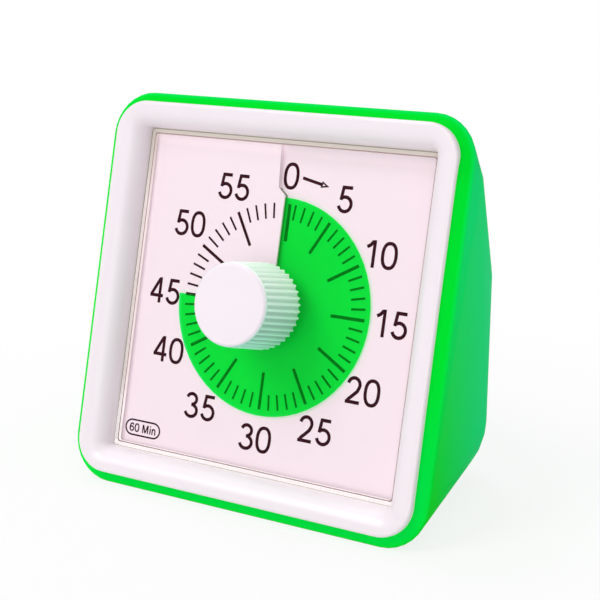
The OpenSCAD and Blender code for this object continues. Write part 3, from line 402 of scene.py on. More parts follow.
# each glyph: its advance, then its strokes as (points, closed)
GLYPHS = {
    "0": (0.66, [(bowl(0.33, 0.5, 0.268, 0.445, 0, 348, 29), True)]),
    "1": (0.66, [([(0.455, 0), (0.455, 1)], False), ([(0.155, 0.735), (0.29, 0.81), (0.41, 0.96)], False)]),
    "2": (0.66, [(arc(0.335, 0.70, 0.235, 0.245, 172, -18, 14)
                  + [(0.49, 0.47), (0.33, 0.31), (0.18, 0.17), (0.13, 0.09)], False),
                 ([(0.04, 0.062), (0.62, 0.062)], False)]),
    "3": (0.66, [(arc(0.32, 0.735, 0.215, 0.207, 165, -90, 14), False),
                 (arc(0.325, 0.293, 0.262, 0.235, 92, -165, 16), False)]),
    "4": (0.66, [([(0.475, 0), (0.475, 1)], False), ([(0.445, 0.95), (0.085, 0.30)], False),
                 ([(0.03, 0.285), (0.64, 0.285)], False)]),
    "5": (0.66, [([(0.17, 0.938), (0.59, 0.938)], False), ([(0.222, 0.99), (0.15, 0.47)], False),
                 (arc(0.33, 0.325, 0.262, 0.268, 138, -165, 18), False)]),
    "6": (0.66, [(arc(0.34, 0.315, 0.255, 0.257, 0, 342, 19), True),
                 ([(0.57, 0.76), (0.49, 0.89), (0.36, 0.94), (0.22, 0.87), (0.12, 0.70), (0.083, 0.47),
                   (0.088, 0.3)], False)]),
    "M": (0.96, [([(0.1, 0), (0.1, 1)], False), ([(0.13, 1), (0.46, 0.03)], False),
                 ([(0.46, 0.03), (0.79, 1)], False), ([(0.82, 0), (0.82, 1)], False)]),
    "i": (0.24, [([(0.12, 0), (0.12, 0.72)], False), ([(0.12, 0.86), (0.12, 1)], False)]),
    "n": (0.6, [([(0.09, 0), (0.09, 0.72)], False),
                ([(0.11, 0.48)] + arc(0.3, 0.46, 0.19, 0.215, 150, 0, 8) + [(0.49, 0)], False)]),
    " ": (0.26, []),
}


def pen_stroke(points, width, closed):
    """Left and right edges of a line drawn with a flat pen, mitred at its corners."""
    count = len(points)
    edges = []
    for i, (x, y) in enumerate(points):
        before = points[i - 1] if closed or i > 0 else None
        after = points[(i + 1) % count] if closed or i < count - 1 else None
        into = Vector((x - before[0], y - before[1])).normalized() if before else None
        away = Vector((after[0] - x, after[1] - y)).normalized() if after else into
        into = into or away
        normal = (into + away).normalized()
        normal = Vector((-normal.y, normal.x))
        reach = width / 2 / max(MITRE, normal.dot(Vector((-into.y, into.x))))
        edges.append((Vector((x, y)) + normal * reach, Vector((x, y)) - normal * reach))
    return edges


class Ink:
    """Collects flat ink shapes that lie on the spiral card."""

    def __init__(self, height):
        self.height = height
        self.verts = []
        self.faces = []

    def card_height(self, x, y):
        """Height of the card's surface, which climbs by the pitch in one turn."""
        angle = math.degrees(math.atan2(x, y)) % 360
        low_again = angle > 360 - NOTCH_ANGLE and math.hypot(x, y) > NOTCH_R
        return 0.0 if low_again else PITCH * angle / 360

    def point(self, x, y):
        """Adds a point and returns its number."""
        self.verts.append(on_face(x, y, self.card_height(x, y) + self.height))
        return len(self.verts) - 1

    def stroke(self, points, width, closed=False):
        """Line through points, or round them if closed."""
        edges = pen_stroke(points, width, closed)
        pairs = [(self.point(*a), self.point(*b)) for a, b in edges]
        last = len(pairs) if closed else len(pairs) - 1
        for i in range(last):
            a, b = pairs[i], pairs[(i + 1) % len(pairs)]
            self.faces.append([a[0], a[1], b[1], b[0]])

    def write(self, text, x, y, height, pen=PEN):
        """Text whose middle is at x, y."""
        widths = [GLYPHS[c][0] + LETTER_GAP for c in text]
        left = x - (sum(widths) - LETTER_GAP) * height / 2
        for c, width in zip(text, widths):
            for points, closed in GLYPHS[c][1]:
                placed = [(left + px * height, y + (py - 0.5) * height) for px, py in points]
                self.stroke(placed, pen * height, closed)
            left += width * height

    def lay(self, name, material):
        """Makes a piece of all that was drawn."""
        add_mesh(name, self.verts, self.faces, material, "case", smooth=False)


# ---- Materials ----

# places of the colour sockets on a Mix node
MIX_A, MIX_B, MIXED = 6, 7, 2
TABLE = Vector((0, 0, 0))
UPRIGHT = Vector((0, 0, 1))
# distance between the faint clouds of colour in a moulding
CLOUD_MM = 22.0


def linear(hex_value):
    """sRGB hex to linear RGBA."""
    channels = [int(hex_value[i:i + 2], 16) / 255 for i in (1, 3, 5)]
    return tuple(c / 12.92 if c <= 0.04045 else ((c + 0.055) / 1.055) ** 2.4 for c in channels) + (1.0,)


def add_node(tree, kind, attributes=None, inputs=None):
    """Adds a shader node, sets its attributes, and feeds its inputs.

    Each input is a value, a colour as sRGB hex, or a socket that it is linked to.
    """
    node = tree.nodes.new("ShaderNode" + kind)
    for key, value in (attributes or {}).items():
        setattr(node, key, value)
    for key, value in (inputs or {}).items():
        if isinstance(value, bpy.types.NodeSocket):
            tree.links.new(value, node.inputs[key])
        else:
            node.inputs[key].default_value = linear(value) if isinstance(value, str) else value
    return node


def new_material(name):
    material = bpy.data.materials.new(name)
    material.use_nodes = True
    material.node_tree.nodes.clear()
    return material


def finish_material(material, shader):
    add_node(material.node_tree, "OutputMaterial", inputs={"Surface": shader})
    return material


def per_mm(size):
    """Texture scale for a pattern whose features are this many millimetres apart."""
    return 1.0 / (size * MM)


def progress(tree, place, axis, start, end, origin=DIAL_CENTRE, both_ways=False):
    """Share from 0 to 1 as a point goes along an axis from start to end, in millimetres.

    Its distance from the origin counts the same in both directions if both_ways.
    """
    offset = add_node(tree, "VectorMath", {"operation": "SUBTRACT"}, {0: place, 1: origin})
    along = add_node(
        tree, "VectorMath", {"operation": "DOT_PRODUCT"}, {0: offset.outputs["Vector"], 1: axis}
    )
    if both_ways:
        along = add_node(tree, "Math", {"operation": "ABSOLUTE"}, {0: along.outputs["Value"]})
    share = add_node(
        tree, "MapRange",
        inputs={"Value": along.outputs["Value"], "From Min": start * MM, "From Max": end * MM},
    )
    return share.outputs["Result"]


def rise(tree, place, start, end):
    """The same for its height above the table."""
    return progress(tree, place, UPRIGHT, start, end, TABLE)


def level(tree, low, high, *shares):
    """Value that goes from low to high with the product of the shares."""
    product = shares[0]
    for share in shares[1:]:
        both = add_node(tree, "Math", {"operation": "MULTIPLY"}, {0: product, 1: share})
        product = both.outputs["Value"]
    value = add_node(tree, "MapRange", inputs={"Value": product, "To Min": low, "To Max": high})
    return value.outputs["Result"]


def layered(tree, shade, *layers):
    """Colour with others laid over it. Each layer is the share that it covers, and its colour."""
    for share, cover in layers:
        mix = add_node(tree, "Mix", {"data_type": "RGBA"}, {"Factor": share, MIX_A: shade, MIX_B: cover})
        shade = mix.outputs[MIXED]
    return shade


def seen_directly(tree):
    """1 where the camera sees a surface, also through a clear one, and 0 where it only gives light."""
    path = add_node(tree, "LightPath")
    seen = add_node(
        tree, "Math", {"operation": "MAXIMUM"},
        {0: path.outputs["Is Camera Ray"], 1: path.outputs["Is Transmission Ray"]},
    )
    return seen.outputs["Value"]


def moulding(
    name, base, roughness, grain_mm, bump_mm, variation=0.03, coat=0.0, specular=0.5, metallic=0.0,
    gleam="#ffffff", glow=0.0,
):
    """Moulded, cast or rolled solid: slight variation of colour and a fine texture from its tool.

    The base colour, specular level and glow, which paints light, are values, or functions that add the nodes for
    them.
    """
    material = new_material(name)
    tree = material.node_tree
    place = add_node(tree, "TexCoord").outputs["Object"]
    grain = add_node(
        tree, "TexNoise", inputs={"Vector": place, "Scale": per_mm(grain_mm), "Detail": 2.0}
    )
    cloud = add_node(
        tree, "TexNoise", inputs={"Vector": place, "Scale": per_mm(CLOUD_MM), "Detail": 1.0}
    )
    clean = base(tree, place) if callable(base) else base
    wear = level(tree, 1 - variation, 1.0, cloud.outputs["Fac"])
    worn = add_node(
        tree, "Mix", {"data_type": "RGBA", "blend_type": "MULTIPLY"},
        {"Factor": 1.0, MIX_A: clean, MIX_B: wear},
    )
    bump = add_node(
        tree, "Bump",
        inputs={"Strength": 0.35, "Distance": bump_mm * MM, "Height": grain.outputs["Fac"]},
    )
    shader = add_node(
        tree, "BsdfPrincipled",
        inputs={
            "Base Color": worn.outputs[MIXED],
            "Emission Color": worn.outputs[MIXED],
            "Emission Strength": glow(tree, place) if callable(glow) else glow,
            "Specular IOR Level": specular(tree, place) if callable(specular) else specular,
            "Specular Tint": gleam,
            "Roughness": roughness,
            "Coat Weight": coat,
            "Coat Roughness": 0.12,
            "Metallic": metallic,
            "Normal": bump.outputs["Normal"],
        },
    )
    return finish_material(material, shader.outputs["BSDF"])


def brushed(name, base, roughness):
    """Drawn, turned or stamped metal: fine lines along its width draw out the highlights."""
    material = new_material(name)
    tree = material.node_tree
    line_gap_mm = 0.12
    line_run_mm = 6.0
    line_depth_mm = 0.01
    place = add_node(tree, "TexCoord").outputs["Object"]
    along = add_node(
        tree, "Mapping",
        inputs={"Vector": place, "Scale": (per_mm(line_run_mm), per_mm(line_gap_mm), per_mm(line_gap_mm))},
    )
    lines = add_node(
        tree, "TexNoise", inputs={"Vector": along.outputs["Vector"], "Scale": 1.0, "Detail": 2.0}
    )
    rough = level(tree, roughness * 0.8, roughness * 1.25, lines.outputs["Fac"])
    bump = add_node(
        tree, "Bump",
        inputs={"Strength": 0.25, "Distance": line_depth_mm * MM, "Height": lines.outputs["Fac"]},
    )
    shader = add_node(
        tree, "BsdfPrincipled",
        inputs={
            "Base Color": base, "Metallic": 1.0, "Roughness": rough, "Normal": bump.outputs["Normal"],
        },
    )
    return finish_material(material, shader.outputs["BSDF"])


def make_abs_green(colours, ridge, half_w):
    """Green ABS, injection moulded against a spark-eroded tool: finely grained, and painted with light and shade.

    The rim is painted the brightest green, with painted shade along its top and a painted cool light at its foot.
    The sides are painted lighter and bluer upwards, and bluer still towards the back, as a painted cool
    reflection. Only what lies between them shows a sheen.
    """
    # where each band of painted light and shade, and of the sheen, starts and ends: up from the table, out of the
    # dial, or beside its middle
    side_rises = (8, 62)
    back_begins = (ridge - 2, ridge - 60)
    foot_ends = (14, 34)
    crown_begins = (68, 75)
    rim_begins = (ridge - 0.2, ridge + 0.9)
    sheen_inward = (half_w - 10, half_w - 17)
    sheen_behind = (ridge, ridge - 4)

    # painted light and shade: the sides by height and towards the back, the rim by height
    def shades(tree, place):
        side = layered(
            tree, colours.green_low,
            (rise(tree, place, *side_rises), colours.green_high),
            (progress(tree, place, OUT, *back_begins), colours.green_back),
        )
        rim = layered(
            tree, colours.rim_low,
            (rise(tree, place, *foot_ends), colours.green),
            (rise(tree, place, *crown_begins), colours.rim_high),
        )
        return layered(tree, side, (progress(tree, place, OUT, *rim_begins), rim))

    def sheen(tree, place):
        inward = progress(tree, place, RIGHT, *sheen_inward, both_ways=True)
        return level(tree, 0.004, 0.32, inward, progress(tree, place, OUT, *sheen_behind))

    return moulding("moulded_abs_green", shades, 0.4, 0.5, 0.02, specular=sheen, gleam=colours.green)


def make_abs_white(colours):
    """White ABS, moulded against a polished tool: a clear highlight on the rolled border.

    A painted glow lights the border's lower slope, fading out towards its ends.
    """
    # where the painted glow starts and ends: up the dial, or beside its middle
    slope_begins = (-34.0, -34.8)
    slope_ends = (-38.4, -36.0)
    corner_ends = (37, 32)

    def thrown(tree, place):
        return level(
            tree, 0.0, 0.15,
            progress(tree, place, UP, *slope_begins),
            progress(tree, place, UP, *slope_ends),
            progress(tree, place, RIGHT, *corner_ends, both_ways=True),
        )

    return moulding(
        "moulded_abs_white", colours.white, 0.34, 0.6, 0.01, variation=0.015, coat=0.2, glow=thrown
    )


def make_knob_white(colours, base_r, slope, base, top, depth):
    """White ABS, moulded against a polished tool: smooth face, and ribs painted with the disc's green bounce.

    A painted glow lifts the ribs, most at the top, and the grooves are painted with shade that deepens lower down.
    """
    # where the cap and each change of the painted light and shade start and end: out of the dial, or up the dial
    cap_ends = (top - 0.15, top - 0.8)
    grooves_darken = (8, -2)
    underside_begins = (6, -8)
    painted_glow_rises = (-4, 9)
    # radius of the crests and of the grooves, carried down to the dial's plane
    crest = base_r + slope * base
    groove_r = crest - depth

    def shades(tree, place):
        offset = add_node(tree, "VectorMath", {"operation": "SUBTRACT"}, {0: place, 1: DIAL_CENTRE})
        from_middle = {0: offset.outputs["Vector"], 1: OUT}
        out = add_node(tree, "VectorMath", {"operation": "DOT_PRODUCT"}, from_middle)
        # this vector is as long as the point is far from the knob's axis
        across = add_node(tree, "VectorMath", {"operation": "CROSS_PRODUCT"}, from_middle)
        radius = add_node(tree, "VectorMath", {"operation": "LENGTH"}, {0: across.outputs["Vector"]})
        # the side tapers, so its radius is carried down to the dial's plane
        at_dial = add_node(
            tree, "Math", {"operation": "MULTIPLY_ADD"},
            {0: out.outputs["Value"], 1: slope, 2: radius.outputs["Value"]},
        )
        deep = add_node(
            tree, "MapRange",
            inputs={"Value": at_dial.outputs["Value"], "From Min": crest * MM, "From Max": groove_r * MM},
        )
        # painted shade in the grooves, which deepens lower down
        darkness = level(tree, 0.4, 1.0, progress(tree, place, UP, *grooves_darken))
        groove = level(tree, 0.0, 1.0, deep.outputs["Result"], darkness)
        ribs = layered(tree, colours.ridge, (groove, colours.groove))
        # a painted green bounce from the disc on the underside
        tinted = add_node(
            tree, "Mix", {"data_type": "RGBA", "blend_type": "MULTIPLY"},
            {"Factor": progress(tree, place, UP, *underside_begins), MIX_A: ribs, MIX_B: colours.under},
        )
        below_cap = progress(tree, place, OUT, *cap_ends)
        return layered(tree, colours.knob, (below_cap, tinted.outputs[MIXED]))

    # a faint painted glow all over, stronger on the ribs towards the top
    def light_within(tree, place):
        below_cap = progress(tree, place, OUT, *cap_ends)
        return level(tree, 0.045, 0.28, below_cap, progress(tree, place, UP, *painted_glow_rises))

    return moulding("moulded_abs_knob", shades, 0.36, 0.6, 0.01, variation=0.01, glow=light_within)


def make_ledge(colours):
    """White ABS under the edge of the lens: a pale band with a painted glow between two painted shadow lines, each
    painted darker or lighter from the top to the foot.
    """
    # where the painted light and shade change, up from the table
    foot_begins = (22, 14)
    top_begins = (58, 70)

    def line(shade, shade_low):
        return lambda tree, place: layered(tree, shade, (rise(tree, place, *foot_begins), shade_low))

    def band(tree, place):
        return layered(
            tree, colours.ledge,
            (rise(tree, place, *top_begins), colours.ledge_high),
            (rise(tree, place, *foot_begins), colours.ledge_low),
        )

    # a painted glow on the band, stronger towards the foot
    def gathered(tree, place):
        return level(tree, 0.25, 0.38, rise(tree, place, *foot_begins))

    return [
        moulding("moulded_abs_ledge_painted_shadow_line", line(colours.outer_line, colours.outer_low), 0.5, 0.3, 0.005),
        moulding("moulded_abs_ledge", band, 0.45, 0.3, 0.005, variation=0.04, glow=gathered),
        moulding("moulded_abs_window_painted_shadow_line", line(colours.inner_line, colours.inner_low), 0.5, 0.3, 0.005),
    ]


def make_card(colours):
    """Styrene sheet, screen-printed white: flat and nearly matt, with a faint painted glow all over.

    The painted glow is stronger along its upper and left border, where it lifts the shade under the frame, most at
    the top.
    """
    # where the stronger painted glow on each border starts and ends: up the dial, or across it
    upper_border = (30.7, 33.2)
    left_border = (-31.5, -35.5)

    def light_within(tree, place):
        border = add_node(
            tree, "Math", {"operation": "MAXIMUM"},
            {0: progress(tree, place, UP, *upper_border), 1: progress(tree, place, RIGHT, *left_border)},
        )
        return level(tree, 0.07, 0.27, border.outputs["Value"])

    return moulding(
        "printed_styrene_card", colours.card, 0.55, 0.3, 0.005, variation=0.012, specular=0.3,
        glow=light_within,
    )


def make_ink(colours):
    """Screen-printing ink: dense, slightly satin, with the faint mesh of the screen."""
    return moulding("screen_printed_ink", colours.ink, 0.6, 0.25, 0.003, variation=0.06, specular=0.05)


def make_film(colours):
    """Polyester film, dyed green and clear: the card and its marks show through, under a slight haze with a
    painted green glow.
    """
    material = new_material("tinted_polyester_film")
    tree = material.node_tree
    # light crosses a face twice on its way to the card and twice on its way back
    crossings = 4
    tint = tuple(c ** (1 / crossings) for c in linear(colours.film)[:3]) + (1.0,)
    through = add_node(tree, "BsdfTransparent", inputs={"Color": tint})
    # the haze carries a painted glow in the film's green
    haze = add_node(
        tree, "BsdfPrincipled",
        inputs={
            "Base Color": colours.film, "Roughness": 0.3, "Specular IOR Level": 0.1,
            "Emission Color": colours.film, "Emission Strength": 0.25,
        },
    )
    both = add_node(
        tree, "MixShader",
        inputs={"Fac": 0.08, 1: through.outputs["BSDF"], 2: haze.outputs["BSDF"]},
    )
    return finish_material(material, both.outputs["Shader"])


def make_lens():
    """Acrylic, cast clear: see-through, with a mirror reflection that grows as it is seen edge-on."""
    material = new_material("cast_acrylic_clear")
    tree = material.node_tree
    clear = add_node(tree, "BsdfTransparent", inputs={"Color": "#ffffff"})
    mirror = add_node(tree, "BsdfGlossy", inputs={"Color": "#6c6c6c", "Roughness": 0.02})
    fresnel = add_node(tree, "Fresnel", inputs={"IOR": 1.49})
    side = add_node(tree, "NewGeometry")
    front = add_node(tree, "Math", {"operation": "SUBTRACT"}, {0: 1.0, 1: side.outputs["Backfacing"]})
    share = level(tree, 0.0, 1.0, fresnel.outputs["Fac"], front.outputs["Value"])
    both = add_node(
        tree, "MixShader", inputs={"Fac": share, 1: clear.outputs["BSDF"], 2: mirror.outputs["BSDF"]}
    )
    return finish_material(material, both.outputs["Shader"])


def make_winding():
    """Enamelled copper wire, wound in close turns: a warm ribbed sheen across the coil."""
    material = new_material("enamelled_copper_winding")
    tree = material.node_tree
    # wider than a real turn, which would be too fine to show
    turn_mm = 0.3
    turn_depth_mm = 0.05
    place = add_node(tree, "TexCoord").outputs["Object"]
    turns = add_node(
        tree, "TexWave", {"bands_direction": "X"},
        {"Vector": place, "Scale": per_mm(turn_mm) / (2 * math.pi), "Distortion": 0.3},
    )
    bump = add_node(
        tree, "Bump",
        inputs={"Strength": 0.8, "Distance": turn_depth_mm * MM, "Height": turns.outputs["Fac"]},
    )
    shader = add_node(
        tree, "BsdfPrincipled",
        inputs={
            "Base Color": "#b5652b", "Metallic": 0.9, "Roughness": 0.3, "Coat Weight": 0.5,
            "Normal": bump.outputs["Normal"],
        },
    )
    return finish_material(material, shader.outputs["BSDF"])


def make_sleeve():
    """PVC sleeve, printed and shrunk on the cell: glossy, and dark but for one coppery end."""
    material = new_material("printed_shrink_sleeve")
    tree = material.node_tree
    copper_ends = -12
    place = add_node(tree, "TexCoord").outputs["Object"]
    parts = add_node(tree, "SeparateXYZ", inputs={"Vector": place})
    coppery = add_node(
        tree, "Math", {"operation": "LESS_THAN"}, {0: parts.outputs["X"], 1: copper_ends * MM}
    )
    printed = layered(tree, "#26272b", (coppery.outputs["Value"], "#c7862f"))
    shader = add_node(
        tree, "BsdfPrincipled",
        inputs={"Base Color": printed, "Metallic": 0.3, "Roughness": 0.3, "Coat Weight": 0.4},
    )
    return finish_material(material, shader.outputs["BSDF"])


# ---- Operators ----


def settings(name):
    return getattr(bpy.context.scene, name)


class TIMER_OT_dial(bpy.types.Operator):
    """Prints the minute marks, numerals, arrow and range mark on the card"""

    bl_idname = "timer.dial"
    bl_label = "Dial"

    def execute(self, context):
        sizes = settings("timer_print")
        colours = settings("timer_colours")
        ink = make_ink(colours)
        dress(make_card(colours), "dial_card")
        self.marks(sizes, ink)
        self.numerals(sizes, ink)
        self.arrow(sizes, ink)
        self.range_mark(sizes, ink)
        return {"FINISHED"}

    def marks(self, sizes, ink):
        drawn = Ink(sizes.ink_h)
        drawn.stroke([(sizes.zero_x, sizes.five_r), (sizes.zero_x, sizes.mark_r)], sizes.zero_w)
        for minute in range(1, 60):
            five = minute % 5 == 0
            inner = sizes.five_r if five else sizes.minute_r
            angle = 2 * math.pi * minute / 60
            ends = [(r * math.sin(angle), r * math.cos(angle)) for r in (inner, sizes.mark_r)]
            drawn.stroke(ends, sizes.five_w if five else sizes.minute_w)
        drawn.lay("minute_marks", ink)

    def numerals(self, sizes, ink):
        for minute, (x, y) in NUMERALS.items():
            drawn = Ink(sizes.ink_h)
            drawn.write(str(minute), x, y, sizes.numeral_h)
            drawn.lay(f"numeral_{minute:02d}", ink)

    def arrow(self, sizes, ink):
        tail = Vector(ARROW_TAIL)
        tip = Vector(ARROW_TIP)
        along = (tip - tail).normalized()
        across = Vector((-along.y, along.x)) * sizes.arrow_head_w / 2
        neck = tip - along * sizes.arrow_head_l
        head = [neck + across, tip - along * sizes.arrow_inset, neck - across]
        drawn = Ink(sizes.ink_h)
        drawn.stroke([tuple(tail), tuple(neck)], sizes.arrow_w)
        drawn.stroke([tuple(p) for p in head], sizes.arrow_line_w, closed=True)
        drawn.lay("direction_arrow", ink)

    def range_mark(self, sizes, ink):
        x, y = RANGE_MARK
        r = sizes.range_h / 2
        flat = sizes.range_w / 2 - r
        outline = arc(x + flat, y, r, r, -90, 90, 10) + arc(x - flat, y, r, r, 90, 270, 10)
        drawn = Ink(sizes.ink_h)
        drawn.stroke(outline, sizes.range_line_w, closed=True)
        drawn.write("60 Min", x, y, sizes.range_text_h, BOLD_PEN)
        drawn.lay("range_mark", ink)


class TIMER_OT_disc(bpy.types.Operator):
    """Gives the time disc its transparent green film and the hub its resin"""

    bl_idname = "timer.disc"
    bl_label = "Time disc"

    def execute(self, context):
        dress(make_film(settings("timer_colours")), "time_disc")
        # Acetal, moulded in its natural white: waxy, with a soft highlight
        dress(moulding("moulded_acetal", "#f3f0ea", 0.4, 0.5, 0.008), "disc_hub")
        return {"FINISHED"}


class TIMER_OT_front(bpy.types.Operator):
    """Builds the white front frame with its rolled border, and the lens"""

    bl_idname = "timer.front"
    bl_label = "Front frame"

    def execute(self, context):
        form = settings("timer_form")
        colours = settings("timer_colours")
        outside, border, ledge, back = self.rings(form)
        verts, faces = loft(outside + border + ledge + back, closed=True)
        frame_piece = add_mesh("front_frame", verts, faces, make_abs_white(colours), "case")
        for material in make_ledge(colours):
            frame_piece.data.materials.append(material)
        size = len(outside[0])
        # the painted outer shadow line, the band, the painted inner shadow line, and the band's colour again down
        # to the foot
        for band, finish in enumerate((1, 2, 3, 2), start=len(outside + border)):
            for face in range(band * size, (band + 1) * size):
                frame_piece.data.polygons[face].material_index = finish
        bm = bmesh.new()
        bm.from_mesh(frame_piece.data)
        mark_edges(bm, FRAME_EDGE_ANGLE)
        bm.to_mesh(frame_piece.data)
        bm.free()
        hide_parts("front_bezel")
        dress(make_lens(), "lens")
        return {"FINISHED"}

    def rings(self, form):
        """Section of the frame, from its seat over the border and the ledge to its back."""
        low, high = face_extent("front_bezel")
        lens_low, lens_high = face_extent("lens")
        crest = high[2]
        roll_edge = lens_low[2] + form.lens_seat
        ledge_h = lens_low[2]
        inside = lens_high[0] + form.lens_gap - form.ledge_w + WINDOW_MARGIN
        foot = min(h for x, y, h in face_points("front_bezel") if abs(x) < inside and abs(y) < inside)

        def outer_ring(inset, h, r):
            beside = inset - form.frame_reach
            return rounded_ring(low[0] + beside, high[0] - beside, low[1] + inset, high[1] - inset, r, h)

        def window_ring(out, h, r):
            reach = form.lens_gap + out
            side = lens_high[0] + reach
            return rounded_ring(-side, side, lens_low[1] - reach, lens_high[1] + reach, r, h)

        edge = form.frame_edge_r
        gap = form.frame_gap
        corner_r = form.frame_corner_r
        outside = [outer_ring(-gap, h, corner_r) for h in (form.seat_h, crest - edge)]
        for i in range(1, EDGE_STEPS):
            a = math.radians(90 * i / EDGE_STEPS)
            inset = edge * (1 - math.cos(a)) - gap
            outside.append(outer_ring(inset, crest - edge * (1 - math.sin(a)), corner_r - inset))

        border = []
        for i in range(ROLL_STEPS + 1):
            a = math.radians(90 - 90 * i / ROLL_STEPS)
            share = 1 - math.cos(a)
            r = form.lens_corner_r + (form.roll_corner_r - form.lens_corner_r) * share
            border.append(window_ring(form.roll_w * share, roll_edge + (crest - roll_edge) * math.sin(a), r))

        ledge = [window_ring(0, ledge_h, form.lens_corner_r)]
        for out in (-form.line_w, form.window_line_w - form.ledge_w, -form.ledge_w):
            ledge.append(window_ring(out, ledge_h, form.ledge_corner_r))
        ledge.append(window_ring(-form.ledge_w, foot, form.ledge_corner_r))
        back = [window_ring(form.collar_w, h, form.collar_corner_r) for h in (foot, form.seat_h)]
        return outside, border, ledge, back


class TIMER_OT_housing(bpy.types.Operator):
    """Dresses the wedge-shaped housing and the battery door"""

    bl_idname = "timer.housing"
    bl_label = "Housing"

    def execute(self, context):
        points = face_points("rear_housing")
        widest = max(x for x, y, h in points)
        ridge = max(h for x, y, h in points if x > widest - RIDGE_MARGIN)
        green = make_abs_green(settings("timer_colours"), ridge, widest)
        smooth_copy("rear_housing", green, "case")
        smooth_copy("battery_door", green, "battery_door")
        return {"FINISHED"}


class TIMER_OT_knob(bpy.types.Operator):
    """Builds the ribbed knob with its smooth face"""

    bl_idname = "timer.knob"
    bl_label = "Knob"

    def execute(self, context):
        form = settings("timer_form")
        low, high = face_extent("knob")
        base_r = high[0]
        base = low[2] + form.knob_neck_l
        top = high[2] - KNOB_WITHIN
        slope = (base_r - self.face_radius(base, top)) / (top - base)
        depth = form.knob_rib_d
        samples = form.knob_ribs * RIB_SAMPLES

        def ring(r, h, depth):
            """Ring of ribs, whose crests are narrower than the grooves between them."""
            points = []
            for k in range(samples):
                a = 2 * math.pi * k / samples
                phase = math.cos(a * form.knob_ribs)
                groove = depth * (1 - (0.5 + 0.5 * phase) ** 2)
                points.append(on_face((r - groove) * math.cos(a), (r - groove) * math.sin(a), h))
            return points

        def side_r(h):
            return base_r - KNOB_WITHIN - slope * (h - base)

        cap = top - form.knob_cap_h
        rings = [ring(form.knob_neck_r, h, 0) for h in (low[2], base)]
        for inset, rise_mm in KNOB_FOOT:
            rings.append(ring(side_r(base) - inset, base + rise_mm, depth))
        lowest = base + KNOB_SIDE_STARTS
        highest = cap - KNOB_SIDE_ENDS
        for i in range(SIDE_RINGS):
            h = lowest + (highest - lowest) * i / (SIDE_RINGS - 1)
            rings.append(ring(side_r(h), h, depth))
        for inset, rise_mm, share in KNOB_RUN_OUT:
            rings.append(ring(side_r(cap) - inset, cap + rise_mm, depth * share))
        face_r = side_r(top) - KNOB_RUN_OUT[-1][0]
        edge = form.knob_edge_r
        for i in range(KNOB_EDGE_STEPS + 1):
            a = math.radians(90 * i / KNOB_EDGE_STEPS)
            rings.append(ring(face_r - edge * (1 - math.cos(a)), top - edge * (1 - math.sin(a)), 0))
        rings.append(ring(face_r * FACE_SHARE, top, 0))

        verts, faces = loft(rings, closed=False)
        faces.append(tuple(range((len(rings) - 1) * samples, len(rings) * samples)))
        faces.append(tuple(reversed(range(samples))))
        white = make_knob_white(settings("timer_colours"), base_r, slope, base, top, depth)
        knob = add_mesh("knob_grip", verts, faces, white, "knob")
        for polygon in knob.data.polygons:
            polygon.use_smooth = len(polygon.vertices) == 4
        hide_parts("knob")
        return {"FINISHED"}

    def face_radius(self, base, top):
        """Radius of the CAD knob near its face, before the edge rounds off."""
        near_face = base + (top - base) * NEAR_FACE_SHARE
        return max(math.hypot(x, y) for x, y, h in face_points("knob") if h > near_face)


class TIMER_OT_works(bpy.types.Operator):
    """Dresses the movement, battery bay, electronics and switches"""

    bl_idname = "timer.works"
    bl_label = "Works"

    def execute(self, context):
        self.metals()
        self.mouldings()
        self.electronics()
        return {"FINISHED"}

    def metals(self):
        # Mild steel, bright drawn or stamped: pale grey, with highlights drawn out by its lines
        dress(
            brushed("bright_mild_steel", "#c2c5c9", 0.28),
            "chassis_screws", "movement_screws", "stator", "clutch_collar", "spindle", "board_screws",
            "quartz_can", "volume_switch", "alarm_switch",
        )
        # Brass, stamped from rolled sheet: warm yellow, with fine lines from the rolls
        dress(brushed("stamped_brass", "#d0a850", 0.3), "centre_wheel", "clutch_spring")
        # Spring steel, nickel-plated: brighter and sharper in its reflections than the bare steel
        dress(brushed("nickel_plated_steel", "#cfd1d2", 0.18), "contact_spring", "contact_plate")
        # Sintered magnet, tumbled: dull and dark, with a mottled skin
        magnet = moulding("sintered_magnet", "#55585c", 0.5, 0.2, 0.01, variation=0.15, metallic=0.7)
        dress(magnet, "rotor")
        dress(make_winding(), "motor_coil")

    def mouldings(self):
        # ABS, dark grey, moulded against a fine-blasted tool: an even satin without clear highlights
        dark = moulding("moulded_abs_dark_grey", "#3a3d42", 0.5, 0.4, 0.02)
        dress(dark, "movement_front_case", "movement_rear_case")
        # Styrene, white, moulded against a plain tool: chalky, between matt and satin
        white = moulding("moulded_styrene_white", "#f0ede6", 0.48, 0.5, 0.01)
        dress(white, "chassis_plate", "coil_bobbin", "volume_button", "alarm_button")
        # Acetal, moulded in its natural colour: creamy and waxy
        dress(moulding("moulded_acetal_gear", "#efe9da", 0.38, 0.4, 0.005), "second_wheel", "third_wheel")
        # ABS, darker green, moulded against a fine-blasted tool: satin where hands seldom reach
        dress(moulding("moulded_abs_green_satin", "#2f9e4d", 0.5, 0.5, 0.02), "battery_tray")

    def electronics(self):
        # Epoxy, black, transfer moulded: matt and almost even
        dress(moulding("moulded_black_epoxy", "#1c1d20", 0.55, 0.2, 0.01), "control_chip", "buzzer")
        # Glass-epoxy board under a cured solder mask: glossy, with the weave showing in faint clouds
        board = moulding("glass_epoxy_solder_mask", "#1d7a45", 0.35, 1.2, 0.01, variation=0.12, coat=0.3)
        dress(board, "circuit_board")
        dress(make_sleeve(), "battery_cell")
        # PVC, extruded on the leads: smooth and softly glossy
        dress(moulding("extruded_pvc_red", "#c4281f", 0.4, 0.5, 0.005), "battery_lead_red")
        dress(moulding("extruded_pvc_black", "#26272b", 0.4, 0.5, 0.005), "battery_lead_black")
        dress(moulding("extruded_pvc_yellow", "#d8b13a", 0.4, 0.5, 0.005), "motor_leads")


